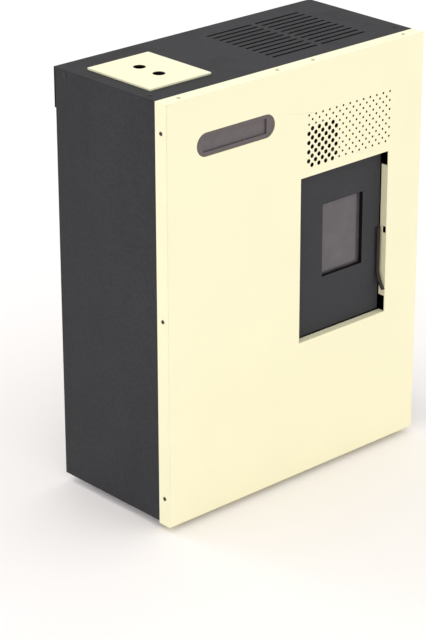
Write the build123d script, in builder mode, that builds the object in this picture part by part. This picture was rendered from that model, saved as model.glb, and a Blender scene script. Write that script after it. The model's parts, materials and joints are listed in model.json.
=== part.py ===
from build123d import *
import math
import os

os.makedirs("parts", exist_ok=True)

# Driving sizes of the cabinet, in millimetres
body_width = 793.0
body_depth = 372.0
body_height = 1000.0
foot_height = 20.0
sheet = 2.0
bend_radius = 3.0
grip_reach = 8.0
spigot_reach = 45.0
seat_gap = 0.3

half_width = body_width / 2
front_y = grip_reach - (grip_reach + body_depth + spigot_reach) / 2
rear_y = front_y + body_depth
base_z = foot_height
top_z = base_z + body_height

# Front panel: a folded tray with a door opening, a display slot and two sizes of air holes
flange_depth = 38.0
panel_drop = 6.0
door_left = 4.0
door_width = 283.0
door_bottom = base_z + 332.5
door_height = 403.5
return_depth = 20.0
top_relief = 36.0
bottom_relief = 39.0
latch_notch_z = base_z + 531.0
latch_notch_height = 16.0
latch_notch_depth = 12.0
display_x = -194.6
display_z = base_z + 886.0
display_width = 233.0
display_height = 55.0
hole_pitch = 10.83
hole_columns = 25
hole_rows = 12
large_columns = 9
small_top_rows = 3
large_hole_radius = 5.6
small_hole_radius = 2.8
large_hole_sides = 8
small_hole_sides = 6
hole_left_x = 27.4
hole_top_z = base_z + 881.4

# Screws that hold the sheets
screw_head_radius = 4.5
screw_head_height = 2.2
screw_shank_radius = 2.0
screw_hole_radius = 2.3
screw_length = 9.0
screw_sides = 8
flange_screw_y = front_y + flange_depth / 2
flange_screw_rise = 435.0
top_screw_inner = 55.0
top_screw_outer = 346.0

# Top cover: hopper mouth on the left, warm-air slots on the right, deep fold behind
cover_front_y = front_y + flange_depth + seat_gap
cover_overhang = 4.7
cover_fold_height = 95.0
lap = 8.0
mouth_width = 158.0
mouth_depth = 190.0
lid_x = -268.7
lid_y = front_y + 202.0
lid_width = 178.5
lid_depth = 211.0
lid_thickness = 4.0
lid_lip = 10.0
lid_lip_gap = 1.0
finger_hole_radius = 14.0
finger_hole_offset = 32.5
trough_wall = 2.0
slot_rows = 11
slot_pitch = 21.8
slot_length = 141.0
slot_width = 7.0
slot_group_offset = 76.5
slot_centre_x = 150.5
slot_centre_y = front_y + 204.5
ear_y = front_y + 76.5
ear_inset = 19.0
side_screw_y = front_y + 339.0
side_screw_drop = 12.5
cover_tab_height = 26.0

# Fire door, its window and its hinges
door_gap = 3.0
door_thickness = 10.0
door_face_y = front_y + return_depth + seat_gap
door_back_y = door_face_y + door_thickness
window_left = 95.0
window_width = 131.0
window_bottom = base_z + 468.0
window_height = 178.5
glass_thickness = 4.0
glass_lap = 12.0
glass_gap = 0.1
gasket_width = 8.0
gasket_depth = 7.7
gasket_clear = 2.5
hinge_x = door_left + 9.0
hinge_y = door_face_y + 7.0
hinge_pin_radius = 3.0
running_gap = 0.06
knuckle_radius = 5.4
knuckle_length = 14.0
hinge_notch = 16.0
hinge_notch_height = 30.0
bracket_thickness = 5.0

# Door handle: a lever on a spindle, with a cam behind the door
handle_x = 276.0
handle_pivot_z = base_z + 538.0
handle_length = 146.0
handle_width = 10.0
handle_thickness = 5.0
handle_stand = 3.0
spindle_radius = 4.0
cam_radius = 11.0
cam_thickness = 4.0

# Firebox behind the door
frame_y = door_back_y + gasket_depth + seat_gap
steel = 3.0
frame_left = 24.0
frame_right = 270.0
frame_bottom = door_bottom + 13.0
frame_top = door_bottom + door_height - 13.0
box_left = 42.0
box_right = 252.0
box_bottom = door_bottom + 28.0
box_top = door_bottom + door_height - 26.0
box_back_y = front_y + 238.0
ledge_drop = 34.0
ledge_width = 10.0
pot_x = 0.5 * (box_left + box_right)
pot_y = front_y + 142.0

# Burn pot and the parts beneath it
pot_top_size = 92.0
pot_foot_size = 76.0
pot_height = 66.0
pot_wall = 4.0
pot_rim = 8.0
pot_rim_height = 4.0
pot_hole_radius = 3.0
pot_hole_pitch = 18.0
pot_hole_sides = 6
holder_height = 78.0
holder_gap = 1.0
ash_pan_height = 30.0
ash_pan_depth = 44.0

# Heat exchanger above the firebox
exchanger_height = 122.0
exchanger_front_y = front_y + 62.0
tube_radius = 15.0
tube_wall = 2.0
tube_columns = 5
tube_rows = 2
tube_pitch_x = 38.0
tube_pitch_z = 46.0
tube_end = 5.0
tube_sides = 12
tube_gap = 0.1

# Air plenum and warm-air blower
plenum_width = 200.0
plenum_depth = 57.0
plenum_front_y = box_back_y + 5.0
blower_x = pot_x
blower_width = 116.0
blower_radius = 75.0
blower_wheel_radius = 55.0
blower_z = 230.0
blower_y = plenum_front_y + plenum_depth - blower_radius
blade_count = 24
blower_motor_radius = 34.0
blower_motor_length = 38.0

# Smoke fan and flue outlet
smoke_x = 312.0
smoke_width = 48.0
smoke_radius = 84.0
smoke_y = front_y + 150.0
smoke_z = 205.0
smoke_outlet = 86.0
smoke_outlet_y = front_y + 300.0
smoke_wheel_radius = 62.0
smoke_wheel_depth = 26.0
smoke_blades = 8
smoke_eye_radius = 32.0
smoke_motor_radius = 40.0
smoke_motor_length = 50.0
shaft_radius = 4.0
flue_radius = 40.0
flue_wall = 1.5
collar_step = 1.5
duct_depth = 100.0

# Combustion air inlet
air_pipe_radius = 25.0
air_pipe_wall = 1.5
air_pipe_x = -12.0
air_pipe_z = box_bottom - 36.0
air_pipe_reach = 30.0
air_bend_radius = 45.0
air_box_width = 100.0
air_box_height = 64.0

# Pellet hopper, auger and chute
divider_x = -45.0
hopper_left = -357.0
hopper_right = -72.0
hopper_front_y = front_y + 78.0
hopper_rear_y = rear_y - 12.0
hopper_shoulder_z = 700.0
throat_z = 500.0
throat_x = -230.0
throat_size = 70.0
guard_bars = 7
guard_bar_width = 5.0
auger_y = pot_y
auger_angle = 45.0
auger_end_x = 6.0
auger_level = 640.0
auger_tube_radius = 30.0
auger_tube_wall = 3.0
auger_screw_radius = 25.0
auger_shaft_radius = 8.0
auger_pitch = 50.0
auger_flight = 3.0
auger_run = 400.0
gearbox_width = 70.0
gearbox_depth = 62.0
gearbox_length = 46.0
gear_motor_radius = 26.0
gear_motor_length = 58.0
chute_size = 56.0

# Base, feet and small equipment
tray_height = 26.0
foot_inset_x = 60.0
foot_inset_y = 62.0
foot_radius = 20.0
foot_pad_height = 8.0
stud_radius = 5.0
socket_x = -330.0
socket_z = 92.0
socket_width = 48.0
socket_height = 28.0
rocker_width = 19.0
rocker_height = 13.0
reset_x = -250.0
reset_z = 92.0
reset_radius = 8.0
reset_button_radius = 3.0


def facing(y):
    """Plane square to Y at the given depth: local x is X, local y is Z, normal to the front."""
    return Plane((0, y, 0), x_dir=(1, 0, 0), z_dir=(0, -1, 0))


def across(x):
    """Plane square to X at the given place: local x is Y, local y is Z, normal to the right."""
    return Plane((x, 0, 0), x_dir=(0, 1, 0), z_dir=(1, 0, 0))


def level(z):
    """Horizontal plane at the given height."""
    return Plane.XY.offset(z)


def middle(low, high):
    """Mean of two values."""
    return (low + high) / 2


def keep(piece, label):
    """Label a finished piece and write it under its own name."""
    piece.part.label = label
    export_step(piece.part, f"parts/{label}.step")


def block(x0, x1, y0, y1, z0, z1, mode=Mode.ADD):
    """Rectangular block between six limits, drawn on its lower face and extruded upwards."""
    with BuildSketch(level(z0)) as footprint:
        with Locations((middle(x0, x1), middle(y0, y1))):
            Rectangle(x1 - x0, y1 - y0)
    extrude(footprint.sketch, amount=z1 - z0, mode=mode)


def pin(start, direction, radius, length, mode=Mode.ADD, sides=None):
    """Round bar from a point along a direction, or a many-sided one where sides is given."""
    with BuildSketch(Plane(origin=start, z_dir=direction)) as section:
        if sides:
            RegularPolygon(radius, sides)
        else:
            Circle(radius)
    extrude(section.sketch, amount=length, mode=mode)


def screw(spot, outward):
    """Pan-head screw seated on a sheet: the head outside, the shank through the sheets."""
    out = Vector(*outward)
    pin(spot, outward, screw_head_radius, screw_head_height, sides=screw_sides)
    pin(spot, tuple(-out), screw_shank_radius, screw_length, sides=screw_sides)


def screw_hole(spot, inward):
    """Hole for a sheet screw through one sheet."""
    pin(spot, inward, screw_hole_radius, sheet, mode=Mode.SUBTRACT, sides=screw_sides)


# Places of the sheet screws
side_flange_spots = [middle(base_z - panel_drop, top_z) + step * flange_screw_rise for step in (-1, 0, 1)]
top_flange_spots = [-top_screw_outer, -top_screw_inner, top_screw_inner, top_screw_outer]
rear_screw_x = half_width - 12.0
rear_screw_z = [base_z + 40.0, base_z + 340.0, base_z + 640.0, base_z + 880.0]

# Front panel
panel_bottom = base_z - panel_drop
panel_height = top_z - panel_bottom
panel_mid = middle(panel_bottom, top_z)
door_mid_x = door_left + door_width / 2
door_mid_z = door_bottom + door_height / 2
door_right = door_left + door_width
door_top = door_bottom + door_height

large_holes = []
small_holes = []
for column in range(hole_columns):
    for row in range(column % 2, hole_rows, 2):
        spot = (hole_left_x + column * hole_pitch, hole_top_z - row * hole_pitch)
        if column < large_columns and row >= small_top_rows:
            large_holes.append(spot)
        else:
            small_holes.append(spot)

with BuildPart() as front_panel:
    with BuildSketch(facing(front_y)):
        with Locations((0, panel_mid)):
            Rectangle(body_width, panel_height)
    extrude(amount=-flange_depth)
    fillet(front_panel.faces().sort_by(Axis.Y)[0].edges(), radius=bend_radius)
    with BuildSketch(facing(front_y + sheet)):
        with Locations((0, panel_mid)):
            Rectangle(body_width - 2 * sheet, panel_height - 2 * sheet)
    extrude(amount=-flange_depth, mode=Mode.SUBTRACT)
    with BuildSketch(facing(front_y + sheet)):
        with Locations((door_mid_x, door_mid_z)):
            Rectangle(door_width + 2 * sheet, door_height + 2 * sheet)
    extrude(amount=-(return_depth - sheet))
    with BuildSketch(facing(front_y)):
        with Locations((door_mid_x, door_mid_z)):
            Rectangle(door_width, door_height)
        with Locations((display_x, display_z)):
            SlotOverall(display_width, display_height)
        with Locations(*large_holes):
            RegularPolygon(large_hole_radius, large_hole_sides)
        with Locations(*small_holes):
            RegularPolygon(small_hole_radius, small_hole_sides)
    extrude(amount=-return_depth, mode=Mode.SUBTRACT)
    for edge_x in (door_left - sheet / 2, door_right + sheet / 2):
        for low, high in ((door_bottom, door_bottom + bottom_relief), (door_top - top_relief, door_top)):
            block(edge_x - sheet, edge_x + sheet, front_y + sheet, front_y + return_depth, low, high,
                  mode=Mode.SUBTRACT)
    block(door_right, door_right + sheet, front_y + sheet, front_y + latch_notch_depth,
          latch_notch_z, latch_notch_z + latch_notch_height, mode=Mode.SUBTRACT)
    for spot_z in side_flange_spots:
        screw_hole((-half_width, flange_screw_y, spot_z), (1, 0, 0))
        screw_hole((half_width, flange_screw_y, spot_z), (-1, 0, 0))
    for spot_x in top_flange_spots:
        screw_hole((spot_x, flange_screw_y, top_z), (0, 0, -1))
        screw_hole((spot_x, flange_screw_y, panel_bottom), (0, 0, 1))
keep(front_panel, "front_panel")

# One kind of screw holds every sheet of the cabinet
with BuildPart() as cabinet_screws:
    for side in (-1, 1):
        for spot_z in side_flange_spots:
            screw((side * half_width, flange_screw_y, spot_z), (side, 0, 0))
        for spot_z in rear_screw_z:
            screw((side * rear_screw_x, rear_y, spot_z), (0, 1, 0))
        screw((side * half_width, side_screw_y, top_z - side_screw_drop), (side, 0, 0))
        screw((side * (half_width - ear_inset), ear_y, top_z), (0, 0, 1))
    for spot_x in top_flange_spots:
        screw((spot_x, flange_screw_y, top_z), (0, 0, 1))
        screw((spot_x, flange_screw_y, panel_bottom), (0, 0, -1))
keep(cabinet_screws, "cabinet_screws")

# Side panels: outer wall, joggle under the front flange, fold behind, ear for the top cover
with BuildPart() as left_side_panel:
    block(-half_width, -half_width + sheet, cover_front_y, rear_y - sheet, base_z, top_z - sheet)
    block(-half_width + sheet, -half_width + 2 * sheet, front_y + bend_radius + sheet, cover_front_y + lap,
          base_z, top_z - sheet)
    block(-half_width, -half_width + 22.0, rear_y - 2 * sheet, rear_y - sheet, base_z, top_z - sheet)
    block(-half_width + sheet, -half_width + 2 * ear_inset, ear_y - 16.0, ear_y + 16.0,
          top_z - 2 * sheet, top_z - sheet)
    screw_hole((-half_width + ear_inset, ear_y, top_z - sheet), (0, 0, -1))
    screw_hole((-half_width, side_screw_y, top_z - side_screw_drop), (1, 0, 0))
    for spot_z in side_flange_spots:
        screw_hole((-half_width + sheet, flange_screw_y, spot_z), (1, 0, 0))
    for spot_z in rear_screw_z:
        screw_hole((-rear_screw_x, rear_y - 2 * sheet, spot_z), (0, 1, 0))
keep(left_side_panel, "left_side_panel")

with BuildPart() as right_side_panel:
    mirror(left_side_panel.part, about=Plane.YZ)
keep(right_side_panel, "right_side_panel")

# Top cover
with BuildPart() as top_cover:
    with BuildSketch(level(top_z - sheet)):
        with Locations((0, middle(cover_front_y, rear_y + cover_overhang))):
            Rectangle(body_width, rear_y + cover_overhang - cover_front_y)
        with Locations((lid_x, lid_y)):
            Rectangle(mouth_width, mouth_depth, mode=Mode.SUBTRACT)
        for side in (-1, 1):
            with Locations((slot_centre_x + side * slot_group_offset, slot_centre_y)):
                with GridLocations(slot_length, slot_pitch, 1, slot_rows):
                    SlotOverall(slot_length, slot_width, mode=Mode.SUBTRACT)
    extrude(amount=sheet)
    block(-half_width, half_width, rear_y + cover_overhang - sheet, rear_y + cover_overhang,
          top_z - cover_fold_height, top_z)
    lap_half = half_width - 2 * sheet - seat_gap
    block(-lap_half, lap_half, front_y + bend_radius + sheet, cover_front_y + lap,
          top_z - 2 * sheet, top_z - sheet)
    for side in (-1, 1):
        outer = side * (half_width - sheet)
        inner = side * (half_width - 2 * sheet)
        block(min(outer, inner), max(outer, inner), ear_y + 34.0, rear_y - 8.0,
              top_z - sheet - cover_tab_height, top_z - sheet)
        screw_hole((outer, side_screw_y, top_z - side_screw_drop), (-side, 0, 0))
        screw_hole((side * (half_width - ear_inset), ear_y, top_z), (0, 0, -1))
    for spot_x in top_flange_spots:
        screw_hole((spot_x, flange_screw_y, top_z - sheet), (0, 0, -1))
keep(top_cover, "top_cover")

# Hopper lid: a plate with two finger holes and a locating lip that drops into the mouth
with BuildPart() as hopper_lid:
    with BuildSketch(level(top_z)):
        with Locations((lid_x, lid_y)):
            RectangleRounded(lid_width, lid_depth, 2.0)
    extrude(amount=lid_thickness)
    lip_width = mouth_width - 2 * lid_lip_gap
    lip_depth = mouth_depth - 2 * lid_lip_gap
    with BuildSketch(level(top_z - lid_lip)):
        with Locations((lid_x, lid_y)):
            Rectangle(lip_width, lip_depth)
            Rectangle(lip_width - 2 * sheet, lip_depth - 2 * sheet, mode=Mode.SUBTRACT)
    extrude(amount=lid_lip)
    with BuildSketch(level(top_z)):
        with Locations((lid_x, lid_y - finger_hole_offset), (lid_x, lid_y + finger_hole_offset)):
            Circle(finger_hole_radius)
    extrude(amount=lid_thickness, mode=Mode.SUBTRACT)
keep(hopper_lid, "hopper_lid")

# Finger trough under both holes of the lid keeps dust out of the hopper
with BuildPart() as lid_finger_trough:
    trough_width = 2 * (finger_hole_radius + 4.0)
    trough_depth = trough_width + 2 * finger_hole_offset
    with BuildSketch(level(top_z - 26.0)):
        with Locations((lid_x, lid_y)):
            Rectangle(trough_width + 2 * trough_wall, trough_depth + 2 * trough_wall)
    extrude(amount=26.0)
    with BuildSketch(level(top_z - 26.0 + trough_wall)):
        with Locations((lid_x, lid_y)):
            Rectangle(trough_width, trough_depth)
    extrude(amount=26.0 - trough_wall, mode=Mode.SUBTRACT)
keep(lid_finger_trough, "lid_finger_trough")

# Base tray with a lip under the front panel and holes for the feet
tray_front_y = cover_front_y + lap + 0.5
tray_rear_y = rear_y - 2 * sheet - seat_gap
tray_half = half_width - sheet
foot_spots = [(sx * (half_width - foot_inset_x), y)
              for sx in (-1, 1)
              for y in (front_y + foot_inset_y + 12.0, rear_y - foot_inset_y)]
with BuildPart() as base_tray:
    block(-tray_half, tray_half, tray_front_y, tray_rear_y, base_z, base_z + tray_height)
    block(-tray_half + sheet, tray_half - sheet, tray_front_y + sheet, tray_rear_y - sheet,
          base_z + sheet, base_z + tray_height, mode=Mode.SUBTRACT)
    lip_half = half_width - 2 * sheet - seat_gap
    block(-lip_half, lip_half, front_y + bend_radius + sheet, tray_front_y + sheet,
          panel_bottom + sheet, panel_bottom + 2 * sheet)
    block(-lip_half, lip_half, tray_front_y, tray_front_y + sheet, panel_bottom + sheet, base_z + sheet)
    for spot in foot_spots:
        pin((*spot, base_z), (0, 0, 1), stud_radius + running_gap, sheet, mode=Mode.SUBTRACT)
    for spot_x in top_flange_spots:
        screw_hole((spot_x, flange_screw_y, panel_bottom + sheet), (0, 0, 1))
    with BuildSketch(level(base_z)):
        with Locations((blower_x, blower_y)):
            with GridLocations(70.0, 16.0, 2, 6):
                Rectangle(60.0, 6.0)
    extrude(amount=sheet, mode=Mode.SUBTRACT)
keep(base_tray, "base_tray")

with BuildPart() as foot_pads:
    for spot in foot_spots:
        with BuildSketch(Plane.XY):
            with Locations(spot):
                Circle(foot_radius)
        extrude(amount=foot_pad_height, taper=12)
keep(foot_pads, "foot_pads")

with BuildPart() as foot_studs:
    for spot in foot_spots:
        pin((*spot, foot_pad_height), (0, 0, 1), stud_radius, base_z + 18.0 - foot_pad_height)
        with BuildSketch(level(base_z - 6.0)):
            with Locations(spot):
                RegularPolygon(8.5, 6, major_radius=False)
        extrude(amount=6.0)
keep(foot_studs, "foot_studs")

# Rear panel with outlets for flue, air and mains, and a field of air slots
flue_z = smoke_z - smoke_radius + smoke_outlet / 2
with BuildPart() as rear_panel:
    block(-half_width, half_width, rear_y - sheet, rear_y, base_z, top_z - sheet)
    with BuildSketch(facing(rear_y)):
        with Locations((smoke_x, flue_z)):
            Circle(flue_radius + 2.0)
        with Locations((air_pipe_x, air_pipe_z)):
            Circle(air_pipe_radius + 1.0)
        with Locations((socket_x, socket_z)):
            Rectangle(socket_width, socket_height)
        with Locations((reset_x, reset_z)):
            Circle(reset_radius)
        for spot_z in rear_screw_z:
            with Locations((-rear_screw_x, spot_z), (rear_screw_x, spot_z)):
                RegularPolygon(screw_hole_radius, screw_sides)
        with Locations((pot_x, 150.0), (pot_x, 850.0), (middle(hopper_left, hopper_right), 330.0)):
            with GridLocations(80.0, 14.0, 2, 6):
                Rectangle(68.0, 5.0)
    extrude(amount=sheet, mode=Mode.SUBTRACT)
keep(rear_panel, "rear_panel")

# Display: a dark pill-shaped carrier behind the slot, its window and its circuit board
display_y = front_y + sheet
carrier_thickness = 4.0
display_window_width = 188.0
display_window_height = 35.0
display_window_x = display_x - 2.0
with BuildPart() as display_carrier:
    with BuildSketch(facing(display_y)):
        with Locations((display_x, display_z)):
            SlotOverall(display_width + 20.0, display_height + 20.0)
        with Locations((display_window_x, display_z)):
            Rectangle(display_window_width, display_window_height, mode=Mode.SUBTRACT)
    extrude(amount=-carrier_thickness)
keep(display_carrier, "display_carrier")

with BuildPart() as display_window:
    with BuildSketch(facing(display_y + carrier_thickness)):
        with Locations((display_window_x, display_z)):
            Rectangle(display_window_width + 10.0, display_window_height + 10.0)
    extrude(amount=-2.0)
keep(display_window, "display_window")

with BuildPart() as display_board:
    with BuildSketch(facing(display_y + carrier_thickness + 2.0)):
        with Locations((display_window_x, display_z)):
            Rectangle(display_window_width + 6.0, display_window_height + 14.0)
    extrude(amount=-8.0)
    with BuildSketch(facing(display_y + carrier_thickness + 10.0)):
        with Locations((display_window_x + 60.0, display_z)):
            Rectangle(24.0, 12.0)
    extrude(amount=-9.0)
keep(display_board, "display_board")

# Divider between the pellet side and the fire side
auger_dir = Vector(math.cos(math.radians(auger_angle)), 0, math.sin(math.radians(auger_angle)))
auger_top = Vector(auger_end_x, auger_y, auger_level + auger_end_x)
auger_foot = auger_top - auger_dir * auger_run
with BuildPart() as divider_wall:
    block(divider_x - sheet / 2, divider_x + sheet / 2, tray_front_y + sheet + seat_gap,
          tray_rear_y - sheet - seat_gap, base_z + sheet, top_z - sheet)
    pin(tuple(auger_foot), tuple(auger_dir), auger_tube_radius + 2.0, auger_run, mode=Mode.SUBTRACT)
    block(divider_x - 5.0, divider_x + 5.0, tray_rear_y - 60.0, tray_rear_y - 20.0, 60.0, 90.0,
          mode=Mode.SUBTRACT)
keep(divider_wall, "divider_wall")

# Firebox: front frame, five walls, ledges for the baffle, ports for pellets, igniter and smoke
chute_port_z = 548.0
igniter_z = box_bottom + 40.0
smoke_port_width = 120.0
smoke_port_depth = 36.0
with BuildPart() as firebox:
    block(frame_left, frame_right, frame_y, frame_y + steel, frame_bottom, frame_top)
    block(box_left, box_right, frame_y + steel, box_back_y, box_bottom, box_top)
    block(box_left + steel, box_right - steel, frame_y, box_back_y - steel,
          box_bottom + steel, box_top - steel, mode=Mode.SUBTRACT)
    for ledge_x in (box_left + steel, box_right - steel - ledge_width):
        block(ledge_x, ledge_x + ledge_width, frame_y + 30.0, box_back_y - steel,
              box_top - ledge_drop - steel, box_top - ledge_drop)
    block(box_left - 1.0, box_left + steel, auger_y - chute_size / 2 + 2.0, auger_y + chute_size / 2 - 2.0,
          chute_port_z - 25.0, chute_port_z + 25.0, mode=Mode.SUBTRACT)
    pin((box_left - 1.0, pot_y, igniter_z), (1, 0, 0), 7.0, steel + 1.0, mode=Mode.SUBTRACT)
    block(pot_x - smoke_port_width / 2, pot_x + smoke_port_width / 2, box_back_y - 60.0,
          box_back_y - 60.0 + smoke_port_depth, box_top - steel, box_top, mode=Mode.SUBTRACT)
    pin((pot_x, pot_y, box_bottom), (0, 0, 1), 30.0, steel, mode=Mode.SUBTRACT)
keep(firebox, "firebox")

# Two folded legs under the firebox; the air pipe passes through the left one
with BuildPart() as firebox_stands:
    for plate_x, foot_low in ((box_left, box_left - 17.0), (box_right - steel, box_right - steel)):
        block(plate_x, plate_x + steel, front_y + 70.0, box_back_y - 60.0, base_z + sheet, box_bottom)
        block(foot_low, foot_low + 20.0, front_y + 70.0, box_back_y - 60.0,
              base_z + sheet, base_z + sheet + steel)
    pin((box_left - 1.0, pot_y, air_pipe_z), (1, 0, 0), air_pipe_radius + 1.5, steel + 2.0,
        mode=Mode.SUBTRACT)
keep(firebox_stands, "firebox_stands")

with BuildPart() as baffle_plate:
    block(box_left + steel + 1.0, box_right - steel - 1.0, frame_y + 55.0, box_back_y - steel - 1.0,
          box_top - ledge_drop, box_top - ledge_drop + 6.0)
keep(baffle_plate, "baffle_plate")

# Ribbed cast back plate inside the firebox
with BuildPart() as fireback:
    back_low = box_bottom + steel + 90.0
    back_high = box_top - ledge_drop - 12.0
    block(box_left + steel + 2.0, box_right - steel - 2.0, box_back_y - steel - 8.0, box_back_y - steel,
          back_low, back_high)
    with BuildSketch(facing(box_back_y - steel - 8.0)):
        with Locations((pot_x, middle(back_low, back_high))):
            with GridLocations(26.0, 10.0, 7, 1):
                Rectangle(8.0, back_high - back_low - 16.0)
    extrude(amount=5.0)
keep(fireback, "fireback")

# Burn pot holder, burn pot and ash pan
with BuildPart() as pot_holder:
    outer_half = pot_top_size / 2 + 6.0
    inner_half = pot_top_size / 2 + holder_gap
    holder_low = box_bottom + steel
    holder_high = holder_low + holder_height
    block(pot_x - outer_half, pot_x + outer_half, pot_y - outer_half, pot_y + outer_half,
          holder_low, holder_high)
    block(pot_x - inner_half, pot_x + inner_half, pot_y - inner_half, pot_y + inner_half,
          holder_low, holder_high, mode=Mode.SUBTRACT)
    pin((pot_x - outer_half - 1.0, pot_y, igniter_z), (1, 0, 0), 6.0, 10.0, mode=Mode.SUBTRACT)
keep(pot_holder, "pot_holder")

pot_top_z = holder_high + pot_rim_height
pot_low_z = pot_top_z - pot_height
with BuildPart() as burn_pot:
    for inset, low, mode in ((0.0, pot_low_z, Mode.ADD), (pot_wall, pot_low_z + pot_wall, Mode.SUBTRACT)):
        with BuildSketch(level(low)):
            with Locations((pot_x, pot_y)):
                Rectangle(pot_foot_size - 2 * inset, pot_foot_size - 2 * inset)
        with BuildSketch(level(pot_top_z)):
            with Locations((pot_x, pot_y)):
                Rectangle(pot_top_size - 2 * inset, pot_top_size - 2 * inset)
        loft(ruled=True, mode=mode)
    with BuildSketch(level(holder_high)):
        with Locations((pot_x, pot_y)):
            Rectangle(pot_top_size + 2 * pot_rim, pot_top_size + 2 * pot_rim)
            Rectangle(pot_top_size - pot_wall, pot_top_size - pot_wall, mode=Mode.SUBTRACT)
    extrude(amount=pot_rim_height)
    with BuildSketch(level(pot_low_z)):
        with Locations((pot_x, pot_y)):
            with GridLocations(pot_hole_pitch, pot_hole_pitch, 3, 3):
                RegularPolygon(pot_hole_radius, pot_hole_sides)
    extrude(amount=pot_wall, mode=Mode.SUBTRACT)
keep(burn_pot, "burn_pot")

pan_y0 = frame_y + steel + 2.0
pan_y1 = pan_y0 + ash_pan_depth
with BuildPart() as ash_pan:
    pan_low = box_bottom + steel
    block(box_left + steel + 3.0, box_right - steel - 3.0, pan_y0, pan_y1, pan_low, pan_low + ash_pan_height)
    block(box_left + steel + 5.0, box_right - steel - 5.0, pan_y0 + 2.0, pan_y1 - 2.0,
          pan_low + 2.0, pan_low + ash_pan_height, mode=Mode.SUBTRACT)
keep(ash_pan, "ash_pan")

with BuildPart() as igniter:
    pin((box_left - 34.0, pot_y, igniter_z), (1, 0, 0), 5.0, pot_x - outer_half + 4.0 - box_left + 34.0)
    pin((box_left - 44.0, pot_y, igniter_z), (1, 0, 0), 9.0, 40.0)
keep(igniter, "igniter")

# Fire door
slab_left = door_left + door_gap
slab_right = door_right - door_gap
slab_bottom = door_bottom + door_gap
slab_top = door_top - door_gap
window_x = window_left + window_width / 2
window_z = window_bottom + window_height / 2
hinge_rows = {"top": slab_top - hinge_notch_height, "bottom": slab_bottom}
with BuildPart() as door_slab:
    with BuildSketch(facing(door_face_y)):
        with Locations((middle(slab_left, slab_right), middle(slab_bottom, slab_top))):
            Rectangle(slab_right - slab_left, slab_top - slab_bottom)
        with Locations((window_x, window_z)):
            Rectangle(window_width, window_height, mode=Mode.SUBTRACT)
    extrude(amount=-door_thickness)
    fillet(door_slab.faces().sort_by(Axis.Y)[0].outer_wire().edges(), radius=1.5)
    for notch_z in hinge_rows.values():
        block(slab_left - 1.0, slab_left + hinge_notch, door_face_y, door_back_y,
              notch_z, notch_z + hinge_notch_height, mode=Mode.SUBTRACT)
    pin((handle_x, door_face_y - 1.0, handle_pivot_z), (0, 1, 0), spindle_radius + running_gap,
        door_thickness + 2.0, mode=Mode.SUBTRACT)
keep(door_slab, "door_slab")

with BuildPart() as door_glass:
    with BuildSketch(facing(door_back_y + glass_gap)):
        with Locations((window_x, window_z)):
            Rectangle(window_width + 2 * glass_lap, window_height + 2 * glass_lap)
    extrude(amount=-glass_thickness)
keep(door_glass, "door_glass")

with BuildPart() as glass_clips:
    clip_y = door_back_y + glass_gap + glass_thickness
    for side in (-1, 1):
        for clip_z in (window_z - 60.0, window_z + 60.0):
            edge_x = window_x + side * (window_width / 2 + glass_lap)
            inner_x = edge_x - side * 8.0
            outer_x = edge_x + side * 12.0
            block(min(inner_x, outer_x), max(inner_x, outer_x), clip_y, clip_y + 1.6,
                  clip_z - 8.0, clip_z + 8.0)
            foot_in = edge_x + side * 1.0
            block(min(foot_in, outer_x), max(foot_in, outer_x), door_back_y, clip_y,
                  clip_z - 8.0, clip_z + 8.0)
keep(glass_clips, "glass_clips")

with BuildPart() as door_gasket:
    gasket_w = box_right - box_left - 2 * steel + 2 * gasket_clear
    gasket_h = box_top - box_bottom - 2 * steel + 2 * gasket_clear
    with BuildSketch(facing(door_back_y)):
        with Locations((middle(box_left, box_right), middle(box_bottom, box_top))):
            RectangleRounded(gasket_w + 2 * gasket_width, gasket_h + 2 * gasket_width, 12.0)
            RectangleRounded(gasket_w, gasket_h, 4.0, mode=Mode.SUBTRACT)
    extrude(amount=-gasket_depth)
keep(door_gasket, "door_gasket")

# Hinges: a knuckle on the door turns on a pin that stands in a bracket of the front frame
knuckle_low = {name: z + bracket_thickness + 1.5 for name, z in hinge_rows.items()}
with BuildPart() as door_knuckles:
    for name, low in knuckle_low.items():
        pin((hinge_x, hinge_y, low), (0, 0, 1), knuckle_radius, knuckle_length)
        block(hinge_x, slab_left + hinge_notch, hinge_y - 3.0, hinge_y + 3.0, low, low + knuckle_length)
        pin((hinge_x, hinge_y, low), (0, 0, 1), hinge_pin_radius + running_gap, knuckle_length,
            mode=Mode.SUBTRACT)
keep(door_knuckles, "door_knuckles")

with BuildPart() as hinge_brackets:
    for name, low in knuckle_low.items():
        top = low - seat_gap
        block(hinge_x - 4.5, frame_left + 9.5, hinge_y + 3.6, frame_y, top - bracket_thickness, top)
        pin((hinge_x, hinge_y, top - bracket_thickness), (0, 0, 1), knuckle_radius, bracket_thickness)
        block(hinge_x - 4.5, hinge_x + 4.5, hinge_y, hinge_y + 4.0, top - bracket_thickness, top)
        block(frame_left + 1.5, frame_left + 9.5, frame_y - 2.0, frame_y,
              top - bracket_thickness, top + 16.0)
        pin((hinge_x, hinge_y, top - bracket_thickness), (0, 0, 1), hinge_pin_radius + 0.02,
            bracket_thickness, mode=Mode.SUBTRACT)
keep(hinge_brackets, "hinge_brackets")

with BuildPart() as hinge_pins:
    for low in knuckle_low.values():
        pin((hinge_x, hinge_y, low - seat_gap - bracket_thickness), (0, 0, 1), hinge_pin_radius,
            bracket_thickness + seat_gap + knuckle_length)
keep(hinge_pins, "hinge_pins")

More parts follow.
